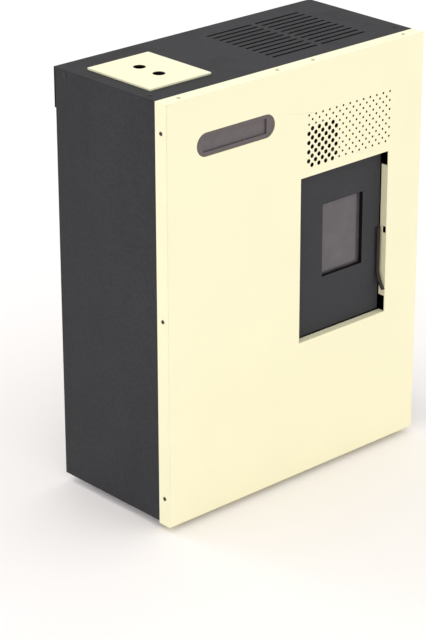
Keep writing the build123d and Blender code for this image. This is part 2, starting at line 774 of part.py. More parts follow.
# Door handle: spindle, lever with a flared finger grip, and the cam behind the door
lever_back_y = door_face_y - handle_stand
lever_front_y = lever_back_y - handle_thickness
grip_y = front_y - grip_reach
with BuildPart() as door_handle:
    with BuildSketch(across(handle_x - handle_width / 2)):
        with BuildLine():
            low = handle_pivot_z - handle_length
            high = handle_pivot_z + handle_width / 2 + 3.0
            Polyline((lever_back_y, high), (lever_front_y, high), (lever_front_y, low + 42.0),
                     (grip_y, low + 5.0), (grip_y, low), (grip_y + 5.0, low),
                     (lever_back_y, low + 40.0), close=True)
        make_face()
    extrude(amount=handle_width)
    pin((handle_x, lever_back_y, handle_pivot_z), (0, 1, 0), 6.5, handle_stand - seat_gap)
    pin((handle_x, lever_back_y, handle_pivot_z), (0, 1, 0), spindle_radius,
        door_back_y + cam_thickness + seat_gap - lever_back_y)
keep(door_handle, "door_handle")

with BuildPart() as latch_cam:
    cam_y = door_back_y + seat_gap
    with BuildSketch(facing(cam_y)):
        with Locations((handle_x, handle_pivot_z)):
            Circle(spindle_radius + 3.0)
        with Locations((handle_x, handle_pivot_z + cam_radius / 2)):
            Rectangle(7.0, cam_radius)
        with Locations((handle_x, handle_pivot_z)):
            Circle(spindle_radius + 0.02, mode=Mode.SUBTRACT)
    extrude(amount=-cam_thickness)
keep(latch_cam, "latch_cam")

with BuildPart() as latch_keeper:
    keeper_z = handle_pivot_z + 21.0
    block(frame_right - 9.0, handle_x + 8.0, frame_y - steel, frame_y, keeper_z - 8.0, keeper_z + 8.0)
    pin((handle_x, frame_y - steel, keeper_z), (0, -1, 0), 4.0, 4.0)
keep(latch_keeper, "latch_keeper")

# Heat exchanger: a steel box above the firebox, crossed by air tubes from back to front
exchanger_top = box_top + exchanger_height
tube_spots = [(pot_x + (column - (tube_columns - 1) / 2) * tube_pitch_x,
               box_top + exchanger_height / 2 + (row - (tube_rows - 1) / 2) * tube_pitch_z)
              for column in range(tube_columns)
              for row in range(tube_rows)]
smoke_side_z = exchanger_top - 40.0
duct_y0 = smoke_y - duct_depth / 2
duct_y1 = smoke_y + duct_depth / 2
with BuildPart() as heat_exchanger:
    block(box_left, box_right, exchanger_front_y, box_back_y, box_top, exchanger_top)
    block(box_left + steel, box_right - steel, exchanger_front_y + steel, box_back_y - steel,
          box_top, exchanger_top - steel, mode=Mode.SUBTRACT)
    with BuildSketch(facing(exchanger_front_y - 1.0)):
        with Locations(*tube_spots):
            RegularPolygon(tube_radius + tube_gap, tube_sides)
    extrude(amount=-(box_back_y - exchanger_front_y + 2.0), mode=Mode.SUBTRACT)
    block(box_right - steel, box_right, duct_y0 + 10.0, duct_y1 - 10.0,
          smoke_side_z - 26.0, smoke_side_z + 26.0, mode=Mode.SUBTRACT)
keep(heat_exchanger, "heat_exchanger")

with BuildPart() as air_tubes:
    with BuildSketch(facing(exchanger_front_y - tube_end)):
        with Locations(*tube_spots):
            RegularPolygon(tube_radius, tube_sides)
            RegularPolygon(tube_radius - tube_wall, tube_sides, mode=Mode.SUBTRACT)
    extrude(amount=-(plenum_front_y + sheet - exchanger_front_y + tube_end))
keep(air_tubes, "air_tubes")

# Air plenum behind the firebox, from the blower up to the tubes
plenum_rear_y = plenum_front_y + plenum_depth
plenum_low = blower_z + blower_radius + 1.0
outlet_y0 = plenum_rear_y - 50.0
with BuildPart() as air_plenum:
    plenum_x0 = pot_x - plenum_width / 2
    plenum_x1 = pot_x + plenum_width / 2
    block(plenum_x0, plenum_x1, plenum_front_y, plenum_rear_y, plenum_low, exchanger_top)
    block(plenum_x0 + sheet, plenum_x1 - sheet, plenum_front_y + sheet, plenum_rear_y - sheet,
          plenum_low + sheet, exchanger_top - sheet, mode=Mode.SUBTRACT)
    with BuildSketch(facing(plenum_front_y)):
        with Locations(*tube_spots):
            RegularPolygon(tube_radius + tube_gap, tube_sides)
    extrude(amount=-sheet, mode=Mode.SUBTRACT)
    block(blower_x - blower_width / 2 + sheet, blower_x + blower_width / 2 - sheet, outlet_y0 + sheet,
          plenum_rear_y - sheet, plenum_low, plenum_low + sheet, mode=Mode.SUBTRACT)
keep(air_plenum, "air_plenum")

# Warm-air blower: scroll housing with an eye on each side, a bladed wheel and its motor
blower_x0 = blower_x - blower_width / 2
blower_x1 = blower_x + blower_width / 2
with BuildPart() as blower_housing:
    with BuildSketch(across(blower_x0)):
        with Locations((blower_y, blower_z)):
            Circle(blower_radius)
        with Locations((middle(outlet_y0, plenum_rear_y), middle(blower_z, plenum_low))):
            Rectangle(plenum_rear_y - outlet_y0, plenum_low - blower_z)
    extrude(amount=blower_width)
    with BuildSketch(across(blower_x0 + sheet)):
        with Locations((blower_y, blower_z)):
            Circle(blower_radius - sheet)
        with Locations((middle(outlet_y0, plenum_rear_y), middle(blower_z, plenum_low + 2.0))):
            Rectangle(plenum_rear_y - outlet_y0 - 2 * sheet, plenum_low + 2.0 - blower_z)
    extrude(amount=blower_width - 2 * sheet, mode=Mode.SUBTRACT)
    pin((blower_x0 - 1.0, blower_y, blower_z), (1, 0, 0), 40.0, blower_width + 2.0, mode=Mode.SUBTRACT)
keep(blower_housing, "blower_housing")

wheel_x0 = blower_x0 + 8.0
wheel_x1 = blower_x1 - 8.0
with BuildPart() as blower_wheel:
    with BuildSketch(across(blower_x - 1.5)):
        with Locations((blower_y, blower_z)):
            Circle(blower_wheel_radius)
    extrude(amount=3.0)
    for ring_x in (wheel_x0, wheel_x1 - 3.0):
        with BuildSketch(across(ring_x)):
            with Locations((blower_y, blower_z)):
                Circle(blower_wheel_radius)
                Circle(blower_wheel_radius - 9.0, mode=Mode.SUBTRACT)
        extrude(amount=3.0)
    with BuildSketch(across(wheel_x0)):
        with Locations((blower_y, blower_z)):
            with PolarLocations(blower_wheel_radius - 5.0, blade_count):
                Rectangle(8.0, 1.6, rotation=35)
    extrude(amount=wheel_x1 - wheel_x0)
    pin((blower_x - 14.0, blower_y, blower_z), (1, 0, 0), 10.0, 28.0)
    pin((blower_x - 15.0, blower_y, blower_z), (1, 0, 0), shaft_radius + 0.02, 30.0, mode=Mode.SUBTRACT)
keep(blower_wheel, "blower_wheel")

motor_face_x = blower_x0 - 2.0
with BuildPart() as blower_shaft:
    pin((motor_face_x - 8.0, blower_y, blower_z), (1, 0, 0), shaft_radius,
        blower_x + 14.0 - motor_face_x + 8.0)
keep(blower_shaft, "blower_shaft")

with BuildPart() as blower_motor:
    pin((motor_face_x - blower_motor_length, blower_y, blower_z), (1, 0, 0), blower_motor_radius,
        blower_motor_length)
    chamfer(blower_motor.edges().filter_by(GeomType.CIRCLE), length=3.0)
    for angle in (0, 120, 240):
        with BuildSketch(across(motor_face_x - 3.0)):
            with Locations(Location((blower_y, blower_z, 0), (0, 0, angle))):
                with Locations((38.0, 0)):
                    Rectangle(24.0, 9.0)
        extrude(amount=5.0)
    pin((motor_face_x - 9.0, blower_y, blower_z), (1, 0, 0), shaft_radius + running_gap, 12.0,
        mode=Mode.SUBTRACT)
keep(blower_motor, "blower_motor")

# Smoke duct down to the smoke fan
smoke_x0 = smoke_x - smoke_width / 2
smoke_x1 = smoke_x + smoke_width / 2
duct_x1 = smoke_x0 - 0.3
duct_x0 = box_right + 0.3
duct_low = smoke_z - 45.0
with BuildPart() as smoke_duct:
    block(duct_x0, duct_x1, duct_y0, duct_y1, duct_low, exchanger_top - 6.0)
    block(duct_x0 + sheet, duct_x1 - sheet, duct_y0 + sheet, duct_y1 - sheet,
          duct_low + sheet, exchanger_top - 6.0 - sheet, mode=Mode.SUBTRACT)
    block(duct_x0 - 1.0, duct_x0 + sheet, duct_y0 + 10.0, duct_y1 - 10.0,
          smoke_side_z - 26.0, smoke_side_z + 26.0, mode=Mode.SUBTRACT)
    pin((duct_x1 - sheet, smoke_y, smoke_z), (1, 0, 0), smoke_eye_radius, sheet, mode=Mode.SUBTRACT)
keep(smoke_duct, "smoke_duct")

# Smoke fan: scroll, wheel, shaft and motor
with BuildPart() as smoke_fan_housing:
    outlet_low = smoke_z - smoke_radius
    with BuildSketch(across(smoke_x0)):
        with Locations((smoke_y, smoke_z)):
            Circle(smoke_radius)
        with Locations((middle(smoke_y, smoke_outlet_y), outlet_low + smoke_outlet / 2)):
            Rectangle(smoke_outlet_y - smoke_y, smoke_outlet)
    extrude(amount=smoke_width)
    with BuildSketch(across(smoke_x0 + sheet)):
        with Locations((smoke_y, smoke_z)):
            Circle(smoke_radius - sheet)
        with Locations((middle(smoke_y, smoke_outlet_y), outlet_low + smoke_outlet / 2)):
            Rectangle(smoke_outlet_y - smoke_y, smoke_outlet - 2 * sheet)
    extrude(amount=smoke_width - 2 * sheet, mode=Mode.SUBTRACT)
    pin((smoke_x0, smoke_y, smoke_z), (1, 0, 0), smoke_eye_radius, sheet, mode=Mode.SUBTRACT)
    pin((smoke_x1 - sheet, smoke_y, smoke_z), (1, 0, 0), 9.0, sheet, mode=Mode.SUBTRACT)
keep(smoke_fan_housing, "smoke_fan_housing")

wheel_back_x = smoke_x1 - sheet - 6.0
with BuildPart() as smoke_fan_wheel:
    with BuildSketch(across(wheel_back_x - 2.0)):
        with Locations((smoke_y, smoke_z)):
            Circle(smoke_wheel_radius)
    extrude(amount=2.0)
    with BuildSketch(across(wheel_back_x - smoke_wheel_depth)):
        with Locations((smoke_y, smoke_z)):
            with PolarLocations(smoke_wheel_radius - 22.0, smoke_blades):
                Rectangle(38.0, 2.0, rotation=-12)
    extrude(amount=smoke_wheel_depth)
    pin((wheel_back_x - smoke_wheel_depth, smoke_y, smoke_z), (1, 0, 0), 11.0, smoke_wheel_depth)
    pin((wheel_back_x - smoke_wheel_depth - 1.0, smoke_y, smoke_z), (1, 0, 0), shaft_radius + 0.02,
        smoke_wheel_depth + 2.0, mode=Mode.SUBTRACT)
keep(smoke_fan_wheel, "smoke_fan_wheel")

smoke_motor_x = smoke_x1 + 3.0
with BuildPart() as smoke_fan_shaft:
    pin((wheel_back_x - smoke_wheel_depth, smoke_y, smoke_z), (1, 0, 0), shaft_radius,
        smoke_motor_x + 8.0 - wheel_back_x + smoke_wheel_depth)
keep(smoke_fan_shaft, "smoke_fan_shaft")

side_room = half_width - 2 * sheet - 2.0 - smoke_motor_x
with BuildPart() as smoke_fan_motor:
    pin((smoke_motor_x, smoke_y, smoke_z), (1, 0, 0), smoke_motor_radius, min(smoke_motor_length, side_room))
    chamfer(smoke_fan_motor.edges().filter_by(GeomType.CIRCLE), length=3.0)
    for angle in (30, 150, 270):
        with BuildSketch(across(smoke_x1)):
            with Locations(Location((smoke_y, smoke_z, 0), (0, 0, angle))):
                with Locations((30.0, 0)):
                    Circle(5.0)
        extrude(amount=6.0)
    pin((smoke_motor_x - 1.0, smoke_y, smoke_z), (1, 0, 0), shaft_radius + running_gap, 10.0,
        mode=Mode.SUBTRACT)
keep(smoke_fan_motor, "smoke_fan_motor")

with BuildPart() as flue_spigot:
    with BuildSketch(facing(smoke_outlet_y)):
        with Locations((smoke_x, flue_z)):
            Rectangle(smoke_outlet, smoke_outlet)
            Circle(flue_radius - flue_wall, mode=Mode.SUBTRACT)
    extrude(amount=-sheet)
    for start, end, radius in ((smoke_outlet_y, rear_y, flue_radius - collar_step),
                               (rear_y, rear_y + sheet, flue_radius + 2 * collar_step),
                               (rear_y + sheet, rear_y + spigot_reach, flue_radius)):
        with BuildSketch(facing(start)):
            with Locations((smoke_x, flue_z)):
                Circle(radius)
        extrude(amount=start - end)
    with BuildSketch(facing(smoke_outlet_y)):
        with Locations((smoke_x, flue_z)):
            Circle(flue_radius - collar_step - flue_wall)
    extrude(amount=smoke_outlet_y - rear_y - spigot_reach, mode=Mode.SUBTRACT)
keep(flue_spigot, "flue_spigot")

# Combustion air pipe: straight in from the rear, one bend to the air box under the burn pot
air_box_left = pot_x - air_box_width / 2
air_bend_x = air_pipe_x + air_bend_radius
air_bend_y = pot_y + air_bend_radius
with BuildPart() as air_pipe:
    with BuildSketch(facing(air_bend_y)) as pipe_ring:
        with Locations((air_pipe_x, air_pipe_z)):
            Circle(air_pipe_radius)
            Circle(air_pipe_radius - air_pipe_wall, mode=Mode.SUBTRACT)
    extrude(amount=-(rear_y + air_pipe_reach - air_bend_y))
    revolve(pipe_ring.sketch, axis=Axis((air_bend_x, air_bend_y, air_pipe_z), (0, 0, 1)), revolution_arc=90)
    with BuildSketch(across(air_bend_x)):
        with Locations((pot_y, air_pipe_z)):
            Circle(air_pipe_radius)
            Circle(air_pipe_radius - air_pipe_wall, mode=Mode.SUBTRACT)
    extrude(amount=air_box_left - air_bend_x)
    with BuildSketch(facing(rear_y)):
        with Locations((air_pipe_x, air_pipe_z)):
            Circle(air_pipe_radius + 2 * collar_step)
            Circle(air_pipe_radius - air_pipe_wall, mode=Mode.SUBTRACT)
    extrude(amount=-sheet)
keep(air_pipe, "air_pipe")

with BuildPart() as air_box:
    box_y0 = pot_y - 44.0
    box_y1 = pot_y + 44.0
    box_low = box_bottom - air_box_height
    block(air_box_left, air_box_left + air_box_width, box_y0, box_y1, box_low, box_bottom)
    block(air_box_left + sheet, air_box_left + air_box_width - sheet, box_y0 + sheet, box_y1 - sheet,
          box_low + sheet, box_bottom, mode=Mode.SUBTRACT)
    pin((air_box_left, pot_y, air_pipe_z), (1, 0, 0), air_pipe_radius - air_pipe_wall, sheet,
        mode=Mode.SUBTRACT)
keep(air_box, "air_box")

# Pellet hopper: a straight bin over a funnel, open to the mouth above and the auger below
hopper_mid_x = middle(hopper_left, hopper_right)
hopper_mid_y = middle(hopper_front_y, hopper_rear_y)
hopper_width = hopper_right - hopper_left
hopper_depth = hopper_rear_y - hopper_front_y
hopper_top = top_z - sheet
funnel_height = hopper_shoulder_z - throat_z


def hopper_shape(wall):
    """Straight bin over a four-sided funnel, drawn in by the wall thickness all round."""
    with BuildPart() as shape:
        block(hopper_left + wall, hopper_right - wall, hopper_front_y + wall, hopper_rear_y - wall,
              throat_z, hopper_top)
        half = throat_size / 2 - wall
        sides = (((1, 0), half + throat_x, hopper_right - wall),
                 ((-1, 0), half - throat_x, -hopper_left - wall),
                 ((0, 1), half + auger_y, hopper_rear_y - wall),
                 ((0, -1), half - auger_y, -hopper_front_y - wall))
        for (nx, ny), low, high in sides:
            normal = (nx * funnel_height, ny * funnel_height, low - high)
            split(bisect_by=Plane(origin=(nx * low, ny * low, throat_z), z_dir=normal), keep=Keep.BOTTOM)
    return shape.part


with BuildPart() as hopper:
    add(hopper_shape(0.0))
    add(hopper_shape(sheet), mode=Mode.SUBTRACT)
keep(hopper, "hopper")

with BuildPart() as hopper_guard:
    guard_width = hopper_width - 2 * sheet - 2 * seat_gap
    guard_depth = hopper_depth - 2 * sheet - 2 * seat_gap
    with BuildSketch(level(hopper_shoulder_z + 1.0)):
        with Locations((hopper_mid_x, hopper_mid_y)):
            Rectangle(guard_width, guard_depth)
            Rectangle(guard_width - 20.0, guard_depth - 20.0, mode=Mode.SUBTRACT)
            with GridLocations(guard_width / guard_bars, 1.0, guard_bars, 1):
                Rectangle(guard_bar_width, guard_depth - 10.0)
    extrude(amount=3.0)
keep(hopper_guard, "hopper_guard")

# Auger tube with its inlet boot, the screw inside it, and the gear motor at its foot
boot_half = throat_size / 2
with BuildPart() as auger_tube:
    block(throat_x - boot_half, throat_x + boot_half, auger_y - boot_half, auger_y + boot_half,
          auger_level + throat_x, throat_z)
    pin(tuple(auger_foot), tuple(auger_dir), auger_tube_radius, auger_run)
    block(throat_x - boot_half + sheet, throat_x + boot_half - sheet, auger_y - boot_half + sheet,
          auger_y + boot_half - sheet, auger_level + throat_x, throat_z, mode=Mode.SUBTRACT)
    bore_start = auger_foot + auger_dir * 4.0
    pin(tuple(bore_start), tuple(auger_dir), auger_tube_radius - auger_tube_wall, auger_run - 8.0,
        mode=Mode.SUBTRACT)
    pin(tuple(auger_foot - auger_dir), tuple(auger_dir), auger_shaft_radius + running_gap, auger_run + 2.0,
        mode=Mode.SUBTRACT)
    outlet = auger_top - auger_dir * 34.0
    block(outlet.X - 20.0, outlet.X + 20.0, auger_y - 20.0, auger_y + 20.0,
          outlet.Z - auger_tube_radius * 1.7, outlet.Z, mode=Mode.SUBTRACT)
keep(auger_tube, "auger_tube")

screw_start = auger_foot + auger_dir * 8.0
screw_turns = (auger_run - 70.0) / auger_pitch
with BuildPart() as auger_screw:
    pin(tuple(auger_foot - auger_dir * 24.0), tuple(auger_dir), auger_shaft_radius, auger_run + 24.0)
    with BuildLine():
        flight_line = Helix(pitch=auger_pitch, height=auger_pitch * screw_turns, radius=auger_shaft_radius,
                            center=tuple(screw_start), direction=tuple(auger_dir))
    flight_start = flight_line @ 0
    outward = (flight_start - screw_start).normalized()
    with BuildSketch(Plane(origin=flight_start, x_dir=outward, z_dir=auger_dir.cross(outward))):
        with Locations(((auger_screw_radius - auger_shaft_radius) / 2 - 0.5, 0)):
            Rectangle(auger_screw_radius - auger_shaft_radius + 1.0, auger_flight)
    sweep(is_frenet=True)
keep(auger_screw, "auger_screw")

gear_axis = Plane(origin=tuple(auger_foot), x_dir=(0, 1, 0), z_dir=tuple(-auger_dir))
with BuildPart() as gear_motor:
    with BuildSketch(gear_axis):
        RectangleRounded(gearbox_depth, gearbox_width, 8.0)
        Circle(auger_shaft_radius + running_gap, mode=Mode.SUBTRACT)
    extrude(amount=gearbox_length)
    with BuildSketch(gear_axis.offset(gearbox_length)):
        Circle(gear_motor_radius)
    extrude(amount=gear_motor_length)
keep(gear_motor, "gear_motor")

# Pellet chute from the auger's top end to the port in the firebox wall
with BuildPart() as pellet_chute:
    chute_front = auger_y - chute_size / 2
    for wall, mode in ((0.0, Mode.ADD), (sheet, Mode.SUBTRACT)):
        with BuildSketch(facing(chute_front + wall)):
            with BuildLine():
                Polyline((outlet.X - 24.0 + wall, outlet.Z - 24.0 + wall),
                         (outlet.X - 24.0 + wall, chute_port_z + 26.0),
                         (box_left, chute_port_z - 27.0 + wall), (box_left, chute_port_z + 27.0 - wall),
                         (outlet.X + 24.0 - wall, chute_port_z + 60.0),
                         (outlet.X + 24.0 - wall, outlet.Z + 24.0 - wall), close=True)
            make_face()
        extrude(amount=-(chute_size - 2 * wall), mode=mode)
    pin(tuple(auger_foot), tuple(auger_dir), auger_tube_radius + seat_gap, auger_run + 20.0,
        mode=Mode.SUBTRACT)
keep(pellet_chute, "pellet_chute")

# Electrical parts: mains inlet with rocker, control box, safety thermostat, pressure switch
with BuildPart() as power_inlet:
    with BuildSketch(facing(rear_y)):
        with Locations((socket_x, socket_z)):
            RectangleRounded(socket_width + 8.0, socket_height + 8.0, 3.0)
    extrude(amount=3.0 * -1)
    with BuildSketch(facing(rear_y)):
        with Locations((socket_x, socket_z)):
            Rectangle(socket_width - 0.6, socket_height - 0.6)
    extrude(amount=22.0)
    with BuildSketch(facing(rear_y + 3.0)):
        with Locations((socket_x - 9.0, socket_z)):
            RectangleRounded(24.0, 16.0, 3.0)
    extrude(amount=16.0, mode=Mode.SUBTRACT)
    with BuildSketch(facing(rear_y + 3.0)):
        with Locations((socket_x + 14.5, socket_z)):
            Rectangle(rocker_height, rocker_width)
    extrude(amount=12.0, mode=Mode.SUBTRACT)
    with BuildSketch(facing(rear_y + 2.0)):
        with Locations((socket_x - 15.0, socket_z), (socket_x - 9.0, socket_z + 2.0),
                       (socket_x - 3.0, socket_z)):
            Rectangle(1.6, 4.0)
    extrude(amount=15.5)
keep(power_inlet, "power_inlet")

rocker_x = socket_x + 14.5
rocker_y = rear_y - 1.0
with BuildPart() as rocker_switch:
    with BuildSketch(across(rocker_x - rocker_height / 2 + 0.5)):
        with BuildLine():
            Polyline((rocker_y - 4.0, socket_z - 6.0), (rocker_y + 4.5, socket_z - 8.2),
                     (rocker_y + 3.0, socket_z), (rocker_y + 4.5, socket_z + 8.2),
                     (rocker_y - 4.0, socket_z + 6.0), close=True)
        make_face()
    extrude(amount=rocker_height - 1.0)
keep(rocker_switch, "rocker_switch")

with BuildPart() as control_box:
    box_x = -half_width + sheet
    block(box_x, box_x + 38.0, front_y + 130.0, front_y + 290.0, 60.0, 175.0)
    fillet(control_box.faces().sort_by(Axis.X)[-1].edges(), radius=3.0)
keep(control_box, "control_box")

with BuildPart() as safety_thermostat:
    pin((reset_x, rear_y - sheet, reset_z), (0, -1, 0), 14.0, 16.0)
    pin((reset_x, rear_y - sheet, reset_z), (0, 1, 0), reset_radius - 0.3, sheet + 4.0)
    pin((reset_x, rear_y + 5.0, reset_z), (0, -1, 0), reset_button_radius + running_gap + 0.2, 12.0,
        mode=Mode.SUBTRACT)
keep(safety_thermostat, "safety_thermostat")

with BuildPart() as reset_button:
    pin((reset_x, rear_y - 5.0, reset_z), (0, 1, 0), reset_button_radius, 8.0)
keep(reset_button, "reset_button")

with BuildPart() as pressure_switch:
    switch_x = divider_x - sheet / 2
    pin((switch_x, front_y + 260.0, 180.0), (-1, 0, 0), 28.0, 22.0)
    pin((switch_x - 22.0, front_y + 260.0, 180.0), (-1, 0, 0), 20.0, 8.0)
    pin((switch_x - 11.0, front_y + 260.0, 180.0), (0, 0, 1), 3.0, 42.0)
keep(pressure_switch, "pressure_switch")
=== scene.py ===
"""Looks of a slim pellet stove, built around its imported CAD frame."""
import json
import logging
import math
from contextlib import contextmanager
from dataclasses import dataclass, field, replace
from enum import Enum
from typing import Any, Callable, Iterator

import bmesh
import bpy
from mathutils import Matrix, Vector


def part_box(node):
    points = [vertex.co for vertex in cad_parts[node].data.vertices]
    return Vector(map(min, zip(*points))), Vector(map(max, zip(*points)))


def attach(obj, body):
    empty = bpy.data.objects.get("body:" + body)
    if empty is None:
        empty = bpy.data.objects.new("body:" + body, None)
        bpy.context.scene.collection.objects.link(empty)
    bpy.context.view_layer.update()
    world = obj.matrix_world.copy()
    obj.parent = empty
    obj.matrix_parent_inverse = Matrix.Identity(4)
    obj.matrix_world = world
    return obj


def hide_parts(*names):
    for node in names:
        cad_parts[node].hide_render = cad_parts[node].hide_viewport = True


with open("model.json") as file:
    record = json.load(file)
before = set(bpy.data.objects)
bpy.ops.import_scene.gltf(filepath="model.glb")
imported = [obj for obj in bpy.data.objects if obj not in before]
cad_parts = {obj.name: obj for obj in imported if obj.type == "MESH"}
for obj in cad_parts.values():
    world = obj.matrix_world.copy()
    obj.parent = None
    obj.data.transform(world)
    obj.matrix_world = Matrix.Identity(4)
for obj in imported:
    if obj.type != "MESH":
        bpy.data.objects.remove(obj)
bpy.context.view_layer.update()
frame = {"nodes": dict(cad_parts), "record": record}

LOG = logging.getLogger("pellet_stove")
Colour = tuple[float, float, float]
Place = tuple[float, float, float]
WHITE: Colour = (1.0, 1.0, 1.0)
EVEN: Place = (1.0, 1.0, 1.0)
UNTURNED: Place = (0.0, 0.0, 0.0)

# Driving sizes that the pieces below share, in metres, in the frame's own axes
FRONT_Y = -0.2045
REAR_Y = 0.1675
HALF_WIDTH = 0.3965
TOP_Z = 1.020
PANEL_LOW_Z = 0.014

# Sockets of a Mix node set to colours, by number because their names repeat
MIX_FACTOR = 0
MIX_FIRST = 6
MIX_SECOND = 7
MIX_RESULT = 2

# Level about which noise swings, and samples of each Bevel node
MIDDLE_LEVEL = 0.5
BEVEL_SAMPLES = 4

# Distance at which doubles merge, and least part of a normal along an axis for a face that looks that way
MERGE_DISTANCE = 0.00001
FACES_AXIS = 0.9


def srgb(red: float, green: float, blue: float) -> Colour:
    """Turn a screen colour into the linear one that shaders use, by the sRGB curve.

    Args:
        red: Red, from 0 to 255.
        green: Green, from 0 to 255.
        blue: Blue, from 0 to 255.

    Returns:
        The linear colour, each part from 0 to 1.
    """
    parts = [part / 255 for part in (red, green, blue)]
    return tuple(part / 12.92 if part <= 0.04045 else ((part + 0.055) / 1.055) ** 2.4 for part in parts)


def scaled(colour: Colour, factor: float) -> Colour:
    """A colour with each part multiplied by a factor and kept below 1."""
    return tuple(min(1.0, part * factor) for part in colour)


class Grain(Enum):
    """How coarse a powder coat is: grain size in metres, height in metres, contrast of its speckle."""

    SMOOTH = (0.0009, 0.000012, 0.012)
    SATIN = (0.0012, 0.00003, 0.05)
    TEXTURED = (0.0016, 0.00006, 0.16)


class Side(Enum):
    """The two sides of the cabinet, as the sign of X."""

    LEFT = -1
    RIGHT = 1


@dataclass(frozen=True)
class Zone:
    """A box, or with a radius the endless upright cylinder round its middle, where a finish changes."""

    low: Place
    high: Place
    radius: float = 0.0


@dataclass(frozen=True)
class Cloud:
    """Cloudy noise: lump size in metres, the levels where it starts and is full, and what it does there.

    Strength and tone are for a cloud that lays a tone of the finish's colour. Detail is the noise's fineness,
    and a stretch below 1 draws the lumps out along that axis.
    """

    size: float
    low: float = 0.35
    high: float = 0.70
    strength: float = 1.0
    tone: float = 1.0
    detail: float = 3.0
    stretch: Place = EVEN


@dataclass(frozen=True)
class Rub:
    """Wear along the edges: its width in metres, its strength and the tone that it leaves."""

    width: float
    strength: float
    tone: float = 1.0


class Signal:
    """One output of a shader graph, on which Python's arithmetic and comparisons work."""

    def __init__(self, graph: "Graph", socket: bpy.types.NodeSocket) -> None:
        """Wrap a socket of a graph."""
        self.graph = graph
        self.socket = socket

    def _math(self, operation: str, first: Any, second: Any) -> "Signal":
        """Add a Math node on two values or signals."""
        return self.graph.node("ShaderNodeMath", {"operation": operation}, {0: first, 1: second})

    def __add__(self, other: Any) -> "Signal":
        """Sum."""
        return self._math("ADD", self, other)

    def __radd__(self, other: Any) -> "Signal":
        """Sum, from the other side."""
        return self._math("ADD", other, self)

    def __sub__(self, other: Any) -> "Signal":
        """Difference."""
        return self._math("SUBTRACT", self, other)

    def __rsub__(self, other: Any) -> "Signal":
        """Difference, from the other side."""
        return self._math("SUBTRACT", other, self)

    def __mul__(self, other: Any) -> "Signal":
        """Product."""
        return self._math("MULTIPLY", self, other)

    def __rmul__(self, other: Any) -> "Signal":
        """Product, from the other side."""
        return self._math("MULTIPLY", other, self)

    def __gt__(self, other: Any) -> "Signal":
        """Mask that is 1 above a limit."""
        return self._math("GREATER_THAN", self, other)

    def __lt__(self, other: Any) -> "Signal":
        """Mask that is 1 below a limit."""
        return self._math("LESS_THAN", self, other)

    def swing(self) -> "Signal":
        """How far noise lies above or below its middle level."""
        return self - MIDDLE_LEVEL

    def between(self, low: float, high: float) -> "Signal":
        """Spread the stretch from low to high over 0 to 1, with nothing outside it."""
        return self.graph.node("ShaderNodeMapRange", {"clamp": True},
                               {"Value": self, "From Min": low, "From Max": high})

    def showing(self, cloud: Cloud) -> "Signal":
        """Turn a cloud's noise into its mask, 0 where it starts and 1 where it is full."""
        return self.between(cloud.low, cloud.high)


